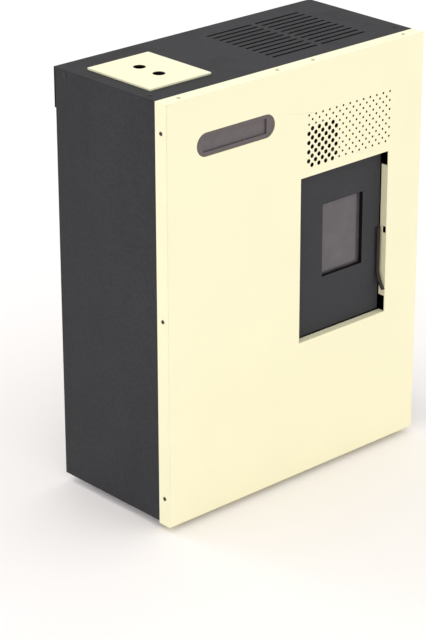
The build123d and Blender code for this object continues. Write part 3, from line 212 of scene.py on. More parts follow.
class Graph:
    """The node graph of a material or of the world."""

    def __init__(self, owner: bpy.types.Material | bpy.types.World) -> None:
        """Start an empty graph.

        Args:
            owner: The material or world that the graph belongs to.
        """
        owner.use_nodes = True
        self.owner = owner
        self.tree = owner.node_tree
        self.tree.nodes.clear()

    def feed(self, socket: bpy.types.NodeSocket, value: Any) -> None:
        """Link a signal to a socket, or set the socket's own value.

        Args:
            socket: An input socket.
            value: A signal, number, vector or colour.
        """
        if isinstance(value, Signal):
            self.tree.links.new(value.socket, socket)
        elif socket.type == "RGBA":
            socket.default_value = (*value, 1.0)
        else:
            socket.default_value = value

    def add(self, kind: str, settings: dict[str, Any], inputs: dict[Any, Any]) -> bpy.types.Node:
        """Add any node.

        Args:
            kind: Type name of the node.
            settings: Attributes, set first.
            inputs: Values or signals for its sockets, by name or index.

        Returns:
            The node.
        """
        made = self.tree.nodes.new(kind)
        for key, value in settings.items():
            setattr(made, key, value)
        for key, value in inputs.items():
            self.feed(made.inputs[key], value)
        return made

    def node(self, kind: str, settings: dict[str, Any], inputs: dict[Any, Any],
             output: int | str = 0) -> Signal:
        """Add any node and give its output, by name or index."""
        return Signal(self, self.add(kind, settings, inputs).outputs[output])

    def place(self, stretch: Place = EVEN, turn: Place = UNTURNED) -> Signal:
        """Object coordinates, stretched and turned."""
        spot = self.node("ShaderNodeTexCoord", {}, {}, "Object")
        return self.node("ShaderNodeMapping", {}, {"Vector": spot, "Scale": stretch, "Rotation": turn})

    def noise(self, cloud: Cloud) -> Signal:
        """A cloud's noise at all its levels."""
        return self.node("ShaderNodeTexNoise", {}, {"Vector": self.place(cloud.stretch),
                                                    "Scale": 1.0 / cloud.size, "Detail": cloud.detail})

    def veil(self, cloud: Cloud) -> Signal:
        """A cloud's mask."""
        return self.noise(cloud).showing(cloud)

    def cells(self, size: float, output: str = "Distance") -> Signal:
        """Cell pattern with cells of a given size in metres."""
        return self.node("ShaderNodeTexVoronoi", {}, {"Vector": self.place(), "Scale": 1.0 / size}, output)

    def mix(self, factor: Any, first: Any, second: Any) -> Signal:
        """Blend two colours."""
        return self.node("ShaderNodeMix", {"data_type": "RGBA"},
                         {MIX_FACTOR: factor, MIX_FIRST: first, MIX_SECOND: second}, MIX_RESULT)

    def in_zone(self, zone: Zone) -> Signal:
        """Mask that is 1 inside a zone.

        Args:
            zone: The zone, in object coordinates.

        Returns:
            The mask.
        """
        spot = self.node("ShaderNodeTexCoord", {}, {}, "Object")
        x, y, z = [self.node("ShaderNodeSeparateXYZ", {}, {"Vector": spot}, axis) for axis in "XYZ"]
        if zone.radius:
            middle_x, middle_y = [(zone.low[axis] + zone.high[axis]) / 2 for axis in (0, 1)]
            across = (x - middle_x) * (x - middle_x) + (y - middle_y) * (y - middle_y)
            return across < zone.radius ** 2
        masks = [(value > low) * (value < high) for value, low, high in zip((x, y, z), zone.low, zone.high)]
        return masks[0] * masks[1] * masks[2]

    def rounded(self, radius: float) -> Signal:
        """Surface normal with the edges rounded to a radius in metres."""
        return self.node("ShaderNodeBevel", {"samples": BEVEL_SAMPLES}, {"Radius": radius})

    def edges(self, width: float, start: float = 0.02, full: float = 0.22) -> Signal:
        """Mask that is 1 at sharp edges and 0 on flat faces.

        Args:
            width: How far the mask reaches from an edge, in metres.
            start: Turn of the rounded normal at which the mask starts.
            full: Turn at which it is full.

        Returns:
            The mask.
        """
        flat = self.node("ShaderNodeNewGeometry", {}, {}, "Normal")
        alike = self.node("ShaderNodeVectorMath", {"operation": "DOT_PRODUCT"},
                          {0: self.rounded(width), 1: flat}, "Value")
        return (1.0 - alike).between(start, full)

    def relief(self, height: Signal, depth: float, rounding: float = 0.0008) -> Signal:
        """Normal with fine relief on top of rounded edges, both in metres."""
        return self.node("ShaderNodeBump", {}, {"Strength": 1.0, "Distance": depth, "Height": height,
                                                "Normal": self.rounded(rounding)})

    def principled(self, **sockets: Any) -> bpy.types.Material:
        """End the graph in a Principled shader.

        Args:
            sockets: Values or signals for the shader's sockets, named with underscores for spaces.

        Returns:
            The finished material.
        """
        inputs = {name.replace("_", " "): value for name, value in sockets.items()}
        shader = self.node("ShaderNodeBsdfPrincipled", {}, inputs)
        self.add("ShaderNodeOutputMaterial", {}, {"Surface": shader})
        return self.owner


@dataclass(frozen=True)
class Finish:
    """A surface finish with a name and a main colour."""

    name: str
    colour: Colour

    def material(self) -> bpy.types.Material:
        """The finish's material, made once and used again."""
        name = f"finish_{self.name}"
        return bpy.data.materials.get(name) or self.make(Graph(bpy.data.materials.new(name)))

    def make(self, graph: Graph) -> bpy.types.Material:
        """Fill the graph; each kind of finish has its own way."""
        raise NotImplementedError

    def varied(self, mask: Signal, dark: float, light: float) -> Signal:
        """Vary the main colour between two tones by a mask."""
        return mask.graph.mix(mask, scaled(self.colour, dark), scaled(self.colour, light))

    def clouded(self, below: Any, cloud: Cloud, noise: Signal, colour: Colour | None = None) -> Signal:
        """Lay a cloud's tone of a colour over what is below.

        Args:
            below: The colour underneath.
            cloud: The cloud.
            noise: Its noise.
            colour: The colour that is laid, the main one if left out.

        Returns:
            The blended colour.
        """
        laid = scaled(colour or self.colour, cloud.tone)
        return noise.graph.mix(noise.showing(cloud) * cloud.strength, below, laid)

    def worn(self, below: Signal, rub: Rub, colour: Colour | None = None) -> Signal:
        """Lay a rub's tone of a colour, the main one if left out, along the edges."""
        laid = scaled(colour or self.colour, rub.tone)
        return below.graph.mix(below.graph.edges(rub.width) * rub.strength, below, laid)


@dataclass(frozen=True)
class PowderCoat(Finish):
    """Baked paint on sheet steel, with a grain, cloudy patches, wiped streaks, rubbed edges, and near-black
    painted shade in listed zones.
    """

    grain: Grain = Grain.SATIN
    gloss: float = 0.45
    patchiness: float = 0.05
    rub: float = 0.35
    rub_colour: Colour = (0.30, 0.29, 0.28)
    shine: float = 0.4
    mottle: float = 0.0
    # Painted shade: zones that are painted near-black where holes, slots and reveals fall in shade, and that
    # colour
    painted_shade_zones: tuple[Zone, ...] = ()
    painted_shade_colour: Colour = (0.006, 0.005, 0.004)
    patches: Cloud = Cloud(0.22, 0.35, 0.65)
    speck_tone: float = 2.2
    pit_scale: float = 4.5
    pit_tone: float = 0.4
    pit_height: float = 0.6
    blotches: Cloud = Cloud(0.007, 0.40, 0.62, tone=0.55)
    chips: Cloud = Cloud(0.012, 0.45, 0.62, detail=4.0)
    chip_width: float = 0.0010
    wipes: Cloud = Cloud(0.09, 0.5, 0.8, detail=4.0, stretch=(1.0, 1.0, 0.25))
    grain_roughness: float = 0.12
    wipe_roughness: float = 0.10

    def make(self, graph: Graph) -> bpy.types.Material:
        """Layer patches, specks, pits, blotches and chipped edges on the paint, then paint near-black shade
        into each shade zone.

        Args:
            graph: The new material's empty graph.

        Returns:
            The finished material.
        """
        size, height, contrast = self.grain.value
        specks = Cloud(size, 0.35, 0.7, strength=contrast, tone=self.speck_tone)
        pits = Cloud(size * self.pit_scale, 0.5, 0.75, strength=contrast, tone=self.pit_tone)
        blotches = replace(self.blotches, strength=self.mottle)
        speckle = graph.noise(specks)
        coarse = graph.noise(pits)
        base = self.varied(graph.veil(self.patches), 1.0 - self.patchiness, 1.0 + self.patchiness)
        grained = self.clouded(base, specks, speckle)
        pitted = self.clouded(grained, pits, coarse)
        mottled = self.clouded(pitted, blotches, graph.noise(blotches))
        chipped = graph.edges(self.chip_width) * graph.veil(self.chips) * self.rub
        coat = graph.mix(chipped, mottled, self.rub_colour)
        # Painted shade: the coat turns near-black inside each zone, standing in for the shade in holes, slots
        # and reveals
        for zone in self.painted_shade_zones:
            coat = graph.mix(graph.in_zone(zone), coat, self.painted_shade_colour)
        rough = (self.gloss + self.grain_roughness * speckle.swing()
                 + self.wipe_roughness * graph.veil(self.wipes))
        return graph.principled(Base_Color=coat, Roughness=rough, Specular_IOR_Level=self.shine,
                                Normal=graph.relief(speckle + self.pit_height * coarse, height))


@dataclass(frozen=True)
class ZincSheet(Finish):
    """Galvanised sheet with a faint spangle, rolling streaks and dull stains."""

    spangle: float = 0.009
    spangle_strength: float = 0.5
    tones: tuple[float, float] = (0.86, 1.12)
    streaks: Cloud = Cloud(0.004, 0.35, 0.75, strength=0.35, tone=0.8, stretch=(0.04, 1.0, 1.0))
    stains: Cloud = Cloud(0.07, 0.48, 0.72, strength=0.4, tone=0.62, detail=4.0)
    edge: Rub = Rub(0.0007, 0.35, 1.3)
    gloss: float = 0.38
    stain_roughness: float = 0.16
    flake_roughness: float = 0.10
    flake_height: float = 0.4

    def make(self, graph: Graph) -> bpy.types.Material:
        """Tint the metal by spangle cells, streaks and stains.

        Args:
            graph: The new material's empty graph.

        Returns:
            The finished material.
        """
        flake = graph.node("ShaderNodeSeparateColor", {}, {"Color": graph.cells(self.spangle, "Color")})
        streak = graph.noise(self.streaks)
        stain = graph.noise(self.stains)
        bright = self.varied(flake * self.spangle_strength, *self.tones)
        streaked = self.clouded(bright, self.streaks, streak)
        dull = self.clouded(streaked, self.stains, stain)
        rough = (self.gloss + self.stain_roughness * stain.showing(self.stains)
                 + self.flake_roughness * flake)
        skin = graph.relief(streak + self.flake_height * flake, depth=0.00002, rounding=0.0005)
        return graph.principled(Base_Color=self.worn(dull, self.edge), Metallic=0.9, Roughness=rough,
                                Normal=skin)


@dataclass(frozen=True)
class HeatPaint(Finish):
    """Matt black heat-proof paint, greyed by heat and ash and browned where it has burnt through."""

    ash: float = 0.35
    rust: float = 0.20
    ash_colour: Colour = (0.16, 0.15, 0.14)
    rust_colour: Colour = (0.11, 0.045, 0.020)
    dust: Cloud = Cloud(0.05, 0.45, 0.75, detail=5.0)
    burns: Cloud = Cloud(0.03, 0.58, 0.72, detail=5.0)
    grit: Cloud = Cloud(0.0015)
    edge: Rub = Rub(0.0012, 0.4, 1.3)
    gloss: float = 0.78
    grit_roughness: float = 0.14
    dust_height: float = 0.5

    def make(self, graph: Graph) -> bpy.types.Material:
        """Lay ash and burnt patches over the black.

        Args:
            graph: The new material's empty graph.

        Returns:
            The finished material.
        """
        dust = graph.veil(self.dust)
        grit = graph.noise(self.grit)
        ashy = graph.mix(dust * self.ash, self.colour, self.ash_colour)
        rusty = graph.mix(graph.veil(self.burns) * self.rust, ashy, self.rust_colour)
        return graph.principled(Base_Color=self.worn(rusty, self.edge, self.ash_colour),
                                Roughness=self.gloss + self.grit_roughness * grit.swing(),
                                Normal=graph.relief(grit + self.dust_height * dust, depth=0.00012))


@dataclass(frozen=True)
class Casting(Finish):
    """Sand-cast iron with a pebbled skin and a brown bloom."""

    bloom_colour: Colour = (0.10, 0.050, 0.028)
    bloom: Cloud = Cloud(0.035, 0.50, 0.75, strength=0.45, detail=5.0)
    sand: Cloud = Cloud(0.0011, detail=4.0)
    pebble_size: float = 0.0022
    edge: Rub = Rub(0.0015, 0.5, 3.0)
    gloss: float = 0.62
    sand_roughness: float = 0.2
    sand_height: float = 0.7

    def make(self, graph: Graph) -> bpy.types.Material:
        """Pebble the iron and warm it with a bloom.

        Args:
            graph: The new material's empty graph.

        Returns:
            The finished material.
        """
        pebble = graph.cells(self.pebble_size)
        sand = graph.noise(self.sand)
        warm = self.clouded(self.colour, self.bloom, graph.noise(self.bloom), self.bloom_colour)
        skin = graph.relief(pebble + self.sand_height * sand, depth=0.00025, rounding=0.0015)
        return graph.principled(Base_Color=self.worn(warm, self.edge), Metallic=0.35, Normal=skin,
                                Roughness=self.gloss + self.sand_roughness * sand.swing())


@dataclass(frozen=True)
class MachinedSteel(Finish):
    """Bare steel with fine tool lines and oily smears."""

    tool_lines: Cloud = Cloud(0.0009, 0.4, 0.7, strength=0.3, tone=0.75, detail=2.0,
                              stretch=(1.0, 1.0, 0.06))
    smears: Cloud = Cloud(0.02, 0.45, 0.7, strength=0.4, tone=0.62, detail=4.0)
    edge: Rub = Rub(0.0006, 0.5, 1.35)
    gloss: float = 0.28
    smear_roughness: float = 0.2

    def make(self, graph: Graph) -> bpy.types.Material:
        """Draw fine lines and smears over bare steel.

        Args:
            graph: The new material's empty graph.

        Returns:
            The finished material.
        """
        lines = graph.noise(self.tool_lines)
        smear = graph.noise(self.smears)
        tinted = self.clouded(self.colour, self.smears, smear)
        lined = self.clouded(tinted, self.tool_lines, lines)
        return graph.principled(Base_Color=self.worn(lined, self.edge), Metallic=1.0,
                                Roughness=self.gloss + self.smear_roughness * smear.showing(self.smears),
                                Normal=graph.relief(lines, depth=0.00001, rounding=0.0005))


@dataclass(frozen=True)
class ScrewPlating(Finish):
    """Dark plated screws, of which those along the top of the front are painted over."""

    painted: Colour = (0.62, 0.58, 0.44)
    front_row: Zone = Zone((-0.5, -0.250, TOP_Z - 0.004), (0.5, -0.150, 1.1))
    stains: Cloud = Cloud(0.003, 0.4, 0.7, strength=0.5, tone=0.5, detail=4.0)
    edge: Rub = Rub(0.0004, 0.5, 2.0)
    gloss: float = 0.4
    stain_roughness: float = 0.2

    def make(self, graph: Graph) -> bpy.types.Material:
        """Plate the screws unevenly and paint the front row.

        Args:
            graph: The new material's empty graph.

        Returns:
            The finished material.
        """
        stain = graph.noise(self.stains)
        plated = self.worn(self.clouded(self.colour, self.stains, stain), self.edge)
        coated = graph.mix(graph.in_zone(self.front_row), plated, self.painted)
        return graph.principled(Base_Color=coated, Metallic=0.3,
                                Roughness=self.gloss + self.stain_roughness * stain,
                                Normal=graph.relief(stain, depth=0.00002, rounding=0.0003))


@dataclass(frozen=True)
class MouldedPlastic(Finish):
    """Moulded plastic with a spark-eroded grain and rubbed edges."""

    grain_size: float = 0.0007
    shades: Cloud = Cloud(0.03, 0.35, 0.7, strength=0.35, tone=1.35)
    edge: Rub = Rub(0.0006, 0.3, 2.2)
    gloss: float = 0.42
    shade_roughness: float = 0.14

    def make(self, graph: Graph) -> bpy.types.Material:
        """Grain the plastic and dull it in patches.

        Args:
            graph: The new material's empty graph.

        Returns:
            The finished material.
        """
        shade = graph.noise(self.shades)
        patched = self.clouded(self.colour, self.shades, shade)
        skin = graph.relief(graph.cells(self.grain_size), depth=0.00002, rounding=0.0006)
        return graph.principled(Base_Color=self.worn(patched, self.edge), Normal=skin,
                                Roughness=self.gloss + self.shade_roughness * shade.swing())


@dataclass(frozen=True)
class SmokedPanel(Finish):
    """Smoked sheet in front of the display, with a faint haze and fine specks."""

    haze: Cloud = Cloud(0.018, detail=4.0)
    tones: tuple[float, float] = (0.9, 1.12)
    specks: Cloud = Cloud(0.0016, 0.45, 0.7, strength=0.12, tone=0.7, detail=2.0)
    gloss: float = 0.30
    haze_roughness: float = 0.2
    rough_levels: tuple[float, float] = (0.45, 0.65)

    def make(self, graph: Graph) -> bpy.types.Material:
        """Haze and speckle the sheet unevenly.

        Args:
            graph: The new material's empty graph.

        Returns:
            The finished material.
        """
        haze = graph.noise(self.haze)
        fine = graph.noise(self.specks)
        hazed = self.varied(haze.showing(self.haze), *self.tones)
        rough = self.gloss + self.haze_roughness * haze.between(*self.rough_levels)
        return graph.principled(Base_Color=self.clouded(hazed, self.specks, fine), Roughness=rough,
                                Normal=graph.relief(fine, depth=0.000004, rounding=0.0006),
                                Coat_Weight=0.15, Coat_Roughness=0.2)


@dataclass(frozen=True)
class StoveGlass(Finish):
    """Ceramic stove glass, smoked on the inside in uneven patches."""

    opacity: float = 0.93
    soot: Cloud = Cloud(0.04, detail=5.0)
    tones: tuple[float, float] = (0.90, 1.10)
    specks: Cloud = Cloud(0.0022, 0.42, 0.7, strength=0.22, tone=1.6)
    gloss: float = 0.16
    soot_roughness: float = 0.14
    rough_levels: tuple[float, float] = (0.4, 0.7)

    def make(self, graph: Graph) -> bpy.types.Material:
        """Smoke the glass, more in patches.

        Args:
            graph: The new material's empty graph.

        Returns:
            The finished material.
        """
        soot = graph.noise(self.soot)
        film = self.varied(soot.showing(self.soot), *self.tones)
        speckled = self.clouded(film, self.specks, graph.noise(self.specks))
        rough = self.gloss + self.soot_roughness * soot.between(*self.rough_levels)
        return graph.principled(Base_Color=speckled, Roughness=rough, Alpha=self.opacity,
                                Normal=graph.relief(soot, depth=0.00002, rounding=0.0004),
                                Coat_Weight=0.4, Coat_Roughness=0.05)


@dataclass(frozen=True)
class BraidedRope(Finish):
    """Woven glass-fibre rope: crossing strands, loose fibres and a dusty grey."""

    strand: float = 0.0035
    wave_length: float = 0.3
    slackness: float = 1.5
    weave_levels: tuple[float, float] = (0.1, 0.6)
    tones: tuple[float, float] = (0.45, 1.0)
    fuzz: Cloud = Cloud(0.0008, 0.5, 0.75, strength=0.5, tone=1.8, detail=4.0)
    fuzz_height: float = 0.3

    def strands(self, graph: Graph, stretch: Place) -> Signal:
        """Diagonal strands; a wave texture of scale 1 repeats each wave_length metres."""
        return graph.node("ShaderNodeTexWave", {"wave_type": "BANDS", "bands_direction": "DIAGONAL"},
                          {"Vector": graph.place(stretch), "Scale": self.wave_length / self.strand,
                           "Distortion": self.slackness})

    def make(self, graph: Graph) -> bpy.types.Material:
        """Cross two sets of diagonal strands.

        Args:
            graph: The new material's empty graph.

        Returns:
            The finished material.
        """
        weave = self.strands(graph, EVEN) * self.strands(graph, (1.0, 1.0, -1.0))
        fuzz = graph.noise(self.fuzz)
        woven = self.varied(weave.between(*self.weave_levels), *self.tones)
        skin = graph.relief(weave + self.fuzz_height * fuzz, depth=0.0006, rounding=0.0004)
        return graph.principled(Base_Color=self.clouded(woven, self.fuzz, fuzz), Roughness=0.92, Normal=skin)


@dataclass(frozen=True)
class FootRubber(Finish):
    """Black rubber with floor dust in patches and along its edges."""

    dust_colour: Colour = (0.20, 0.19, 0.17)
    dust: Cloud = Cloud(0.012, 0.5, 0.75, strength=0.4, detail=4.0)
    grit: Cloud = Cloud(0.0009)
    edge: Rub = Rub(0.0008, 0.3)
    gloss: float = 0.8
    grit_roughness: float = 0.1

    def make(self, graph: Graph) -> bpy.types.Material:
        """Dust the rubber.

        Args:
            graph: The new material's empty graph.

        Returns:
            The finished material.
        """
        grit = graph.noise(self.grit)
        dusty = self.clouded(self.colour, self.dust, graph.noise(self.dust), self.dust_colour)
        return graph.principled(Base_Color=self.worn(dusty, self.edge, self.dust_colour),
                                Roughness=self.gloss + self.grit_roughness * grit.swing(),
                                Normal=graph.relief(grit, depth=0.00006))


@dataclass(frozen=True)
class CircuitBoard(Finish):
    """Coated board with copper tracks under green lacquer."""

    track_colour: Colour = (0.10, 0.30, 0.12)
    track_scale: float = 90.0
    track_gap: float = 0.03
    track_offset: float = 0.3
    haze: Cloud = Cloud(0.01, 0.4, 0.7, strength=0.3, tone=0.6)
    gloss: float = 0.35
    haze_roughness: float = 0.1

    def make(self, graph: Graph) -> bpy.types.Material:
        """Lay tracks under the lacquer.

        Args:
            graph: The new material's empty graph.

        Returns:
            The finished material.
        """
        upright = graph.place(turn=(math.pi / 2, 0.0, 0.0))
        tracks = graph.node("ShaderNodeTexBrick", {"offset": self.track_offset},
                            {"Vector": upright, "Scale": self.track_scale, "Mortar Size": self.track_gap},
                            "Fac")
        haze = graph.noise(self.haze)
        tracked = graph.mix(tracks, self.colour, self.track_colour)
        return graph.principled(Base_Color=self.clouded(tracked, self.haze, haze),
                                Roughness=self.gloss + self.haze_roughness * haze,
                                Normal=graph.relief(tracks, depth=0.00004))


# Zones of painted shade, painted near-black: the walls and back of the front's holes, the top's grille slots,
# the door window's reveal and the lid's two holes
PERFORATION_SHADE = Zone((0.020, FRONT_Y + 0.0002, 0.775), (0.295, FRONT_Y + 0.0030, 0.910))
GRILLE_SHADE = Zone((0.0, -0.115, TOP_Z - 0.0030), (0.300, 0.115, TOP_Z - 0.0002))
WINDOW_REVEAL_SHADE = Zone((0.0947, -0.190, 0.4877), (0.2263, -0.170, 0.6668))
LID_HOLE_X = -0.2687
LID_HOLE_RADIUS = 0.0143
LID_HOLE_SHADES = tuple(Zone((LID_HOLE_X, y, 0.0), (LID_HOLE_X, y, 2.0), LID_HOLE_RADIUS) for y in (-0.035, 0.030))
CREAM = PowderCoat("cream_powder_coat", srgb(248, 243, 207), Grain.SMOOTH, gloss=0.5, patchiness=0.010,
                   rub=0.25, rub_colour=srgb(214, 204, 170), painted_shade_zones=(PERFORATION_SHADE,))
# Painted shade: a darker copy of the front's cream that evens out the stronger light on the lid from above;
# it also paints the lid holes' shade
LID_SHADED_CREAM = replace(CREAM, name="lid_cream_painted_shade_coat", colour=srgb(243, 239, 204),
                    rub_colour=srgb(206, 198, 170), painted_shade_zones=LID_HOLE_SHADES)
ANTHRACITE = PowderCoat("anthracite_powder_coat", srgb(47, 47, 50), Grain.TEXTURED, gloss=0.68,
                        patchiness=0.08, rub=0.5, rub_colour=srgb(96, 96, 98), shine=0.25, mottle=0.35)
# Painted shade: a darker copy of the side panels' anthracite that evens out the stronger light on the top; it
# also paints the grille slots' shade
TOP_SHADED_ANTHRACITE = replace(ANTHRACITE, name="top_anthracite_painted_shade_coat", colour=srgb(40, 40, 43),
                         rub_colour=srgb(90, 90, 92), painted_shade_zones=(GRILLE_SHADE,))
DOOR_PAINT = PowderCoat("door_paint", srgb(61, 61, 64), gloss=0.75, patchiness=0.06, rub=0.5,
                        rub_colour=srgb(84, 80, 76), shine=0.15, mottle=0.15, painted_shade_zones=(WINDOW_REVEAL_SHADE,))
LEVER_PAINT = PowderCoat("lever_paint", srgb(42, 34, 30), gloss=0.5, patchiness=0.08, rub=0.7,
                         rub_colour=srgb(110, 98, 84), shine=0.3)
SCREW_ZINC = ScrewPlating("screw_plating", srgb(70, 62, 52))
ZINC = ZincSheet("galvanised_sheet", srgb(196, 198, 202))
HOT_BLACK = HeatPaint("matt_heat_black", srgb(34, 34, 35))
CLEAN_BLACK = HeatPaint("flue_black", srgb(38, 38, 40), ash=0.12, rust=0.0)
CAST = Casting("sand_cast_iron", srgb(58, 56, 55))
STEEL = MachinedSteel("machined_steel", srgb(176, 176, 178))
BLACK_PLASTIC = MouldedPlastic("black_plastic", srgb(24, 24, 26))
GREY_PLASTIC = MouldedPlastic("grey_plastic", srgb(146, 148, 150))
SMOKED = SmokedPanel("smoked_display_carrier", srgb(90, 82, 82))
SMOKED_LENS = SmokedPanel("smoked_display_lens", srgb(92, 84, 85))
GLASS = StoveGlass("smoked_stove_glass", srgb(84, 80, 84))
ROPE = BraidedRope("braided_rope", srgb(120, 116, 110))
RUBBER = FootRubber("foot_rubber", srgb(28, 28, 29))
BOARD = CircuitBoard("green_board", srgb(22, 74, 40))


class Bench:
    """Modelling by operators, on one piece at a time."""

    @staticmethod
    def take(piece: bpy.types.Object) -> None:
        """Select one piece alone and make it active.

        Args:
            piece: The piece.
        """
        bpy.ops.object.select_all(action="DESELECT")
        piece.select_set(True)
        bpy.context.view_layer.objects.active = piece

    @staticmethod
    def started(name: str) -> bpy.types.Object:
        """Name the primitive that was just added and fix its place in its mesh.

        Args:
            name: Name of the piece.

        Returns:
            The piece.
        """
        piece = bpy.context.object
        piece.name = name
        piece.data.name = name
        Bench.take(piece)
        bpy.ops.object.transform_apply(location=True, rotation=True, scale=True)
        return piece

    @staticmethod
    @contextmanager
    def editing(piece: bpy.types.Object, mode: str = "FACE") -> Iterator[None]:
        """Open a piece in edit mode with nothing selected, and close it after.

        Args:
            piece: The piece.
            mode: What is selected in it: VERT, EDGE or FACE.

        Yields:
            Nothing, while the piece is open.
        """
        Bench.take(piece)
        bpy.ops.object.mode_set(mode="EDIT")
        bpy.ops.mesh.select_mode(type=mode)
        bpy.ops.mesh.select_all(action="DESELECT")
        yield
        bpy.ops.object.mode_set(mode="OBJECT")

    @staticmethod
    def pick(piece: bpy.types.Object, items: str, wanted: Callable[[Any], bool]) -> None:
        """Select the faces, edges or verts that pass a test, and nothing else.

        Args:
            piece: The piece, open in edit mode.
            items: faces, edges or verts.
            wanted: The test.
        """
        bpy.ops.mesh.select_all(action="DESELECT")
        mesh = bmesh.from_edit_mesh(piece.data)
        mesh.normal_update()
        for item in getattr(mesh, items):
            if wanted(item):
                item.select_set(True)
        bmesh.update_edit_mesh(piece.data)

    @staticmethod
    def draw(move: Place) -> None:
        """Extrude what is selected along a move."""
        bpy.ops.mesh.extrude_region_move(TRANSFORM_OT_translate={"value": move})

    @staticmethod
    def soften(piece: bpy.types.Object, width: float, segments: int = 2, angle: float = 35.0) -> None:
        """Round a piece's sharp edges and shade it smooth between them.

        Args:
            piece: The piece.
            width: Width of the rounding, in metres.
            segments: Its segments.
            angle: Least turn of a sharp edge, in degrees.
        """
        Bench.take(piece)
        bevel = piece.modifiers.new("Bevel", "BEVEL")
        bevel.width = width
        bevel.segments = segments
        bevel.limit_method = "ANGLE"
        bevel.angle_limit = math.radians(angle)
        bevel.use_clamp_overlap = True
        bpy.ops.object.modifier_apply(modifier=bevel.name)
        Bench.smooth(piece)

    @staticmethod
    def smooth(piece: bpy.types.Object, angle: float = 40.0) -> None:
        """Shade a piece smooth except across sharp angles."""
        Bench.take(piece)
        bpy.ops.object.shade_smooth_by_angle(angle=math.radians(angle))

    @staticmethod
    def copied(piece: bpy.types.Object, name: str, move: Matrix) -> bpy.types.Object:
        """Copy a piece with its own mesh, moved in the mesh.

        Args:
            piece: The piece.
            name: Name of the copy.
            move: The move.

        Returns:
            The copy.
        """
        twin = bpy.data.objects.new(name, piece.data.copy())
        twin.data.transform(move)
        bpy.context.collection.objects.link(twin)
        return twin

    @staticmethod
    def joined(pieces: list[bpy.types.Object], name: str) -> bpy.types.Object:
        """Join pieces into one.

        Args:
            pieces: The pieces.
            name: Name of the whole.

        Returns:
            The whole.
        """
        Bench.take(pieces[0])
        for piece in pieces[1:]:
            piece.select_set(True)
        bpy.ops.object.join()
        pieces[0].name = name
        return pieces[0]

    @staticmethod
    def copy_of_node(node: str, name: str) -> bpy.types.Object:
        """Copy a CAD node's mesh into a new piece and merge its loose triangles.

        Args:
            node: The node.
            name: Name of the copy.

        Returns:
            The copy.
        """
        piece = bpy.data.objects.new(name, frame["nodes"][node].data.copy())
        bpy.context.collection.objects.link(piece)
        with Bench.editing(piece, "VERT"):
            bpy.ops.mesh.select_all(action="SELECT")
            bpy.ops.mesh.remove_doubles(threshold=MERGE_DISTANCE)
        return piece


class Workshop:
    """Dresses CAD nodes and takes new pieces into the stove."""

    @staticmethod
    def finish(piece: bpy.types.Object, finish: Finish) -> None:
        """Give a piece one finish all over."""
        piece.data.materials.clear()
        piece.data.materials.append(finish.material())

    @staticmethod
    def adopt(piece: bpy.types.Object, finish: Finish, node: str, slot: str) -> None:
        """Finish a new piece and let it stand for a CAD node on that node's body.

        Args:
            piece: The new piece, in place.
            finish: Its finish.
            node: The CAD node that it replaces.
            slot: The record's material slot; not used.
        """
        Workshop.finish(piece, finish)
        bodies = frame["record"]["behaviour"]["bodies"]
        body = next(name for name, nodes in bodies.items() if node in nodes)
        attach(piece, body)
        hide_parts(node)
        LOG.info("piece %s stands for %s on %s", piece.name, node, body)


@dataclass
class Assembly:
    """A sub-assembly, with the finish of each CAD piece that it keeps."""

    finishes: dict[str, Finish]

    def build(self) -> None:
        """Dress the CAD pieces."""
        for name, finish in self.finishes.items():
            Workshop.finish(frame["nodes"][name], finish)
            LOG.info("piece %s is dressed in %s", name, finish.name)


@dataclass
class PerforatedFront:
    """The folded front panel, whose punched holes are made truly round."""

    hole_left_x: float = 0.0274
    hole_top_z: float = 0.9014
    pitch: float = 0.01083
    columns: int = 25
    rows: int = 12
    large_columns: int = 9
    small_top_rows: int = 3
    large_radius: float = 0.0056
    small_radius: float = 0.0028
    cuts: int = 2
    corner_slack: float = 0.0002
    cut_slack: float = 0.0009
    level_slack: float = 0.0001
    punched_depth: float = 0.0025
    smooth_angle: float = 6.0

    def hole_at(self, point: Vector, slack: float) -> tuple[float, float, float] | None:
        """The hole on whose rim a point lies.

        Args:
            point: The point.
            slack: How far off the rim it may lie.

        Returns:
            The hole's X, Z and radius, or None where there is no such hole.
        """
        column = round((point.x - self.hole_left_x) / self.pitch)
        row = round((self.hole_top_z - point.z) / self.pitch)
        if column not in range(self.columns) or row not in range(self.rows) or (column + row) % 2:
            return None
        large = column < self.large_columns and row >= self.small_top_rows
        radius = self.large_radius if large else self.small_radius
        x = self.hole_left_x + column * self.pitch
        z = self.hole_top_z - row * self.pitch
        on_rim = abs(math.hypot(point.x - x, point.z - z) - radius) < slack
        return (x, z, radius) if on_rim else None

    def is_side(self, edge: bmesh.types.BMEdge) -> bool:
        """True for an edge that is one side of a hole's outline.

        Args:
            edge: An edge of the panel.

        Returns:
            Whether it is.
        """
        start, end = edge.verts
        if abs(start.co.y - end.co.y) > self.level_slack:
            return False
        hole = self.hole_at(start.co, self.corner_slack)
        return hole is not None and self.hole_at(end.co, self.corner_slack) == hole

    def build(self) -> None:
        """Copy the panel, divide the holes' edges and push them out to circles."""
        panel = Bench.copy_of_node("front_panel", "front_panel_finished")
        with Bench.editing(panel, "EDGE"):
            Bench.pick(panel, "edges", self.is_side)
            bpy.ops.mesh.subdivide(number_cuts=self.cuts, smoothness=0.0)
            for vertex in bmesh.from_edit_mesh(panel.data).verts:
                hole = self.hole_at(vertex.co, self.cut_slack)
                if hole and vertex.co.y < FRONT_Y + self.punched_depth:
                    x, z, radius = hole
                    away = Vector((vertex.co.x - x, 0.0, vertex.co.z - z)).normalized() * radius
                    vertex.co.x = x + away.x
                    vertex.co.z = z + away.z
            bmesh.update_edit_mesh(panel.data)
        Bench.smooth(panel, self.smooth_angle)
        Workshop.adopt(panel, CREAM, "front_panel", "cream_paint")


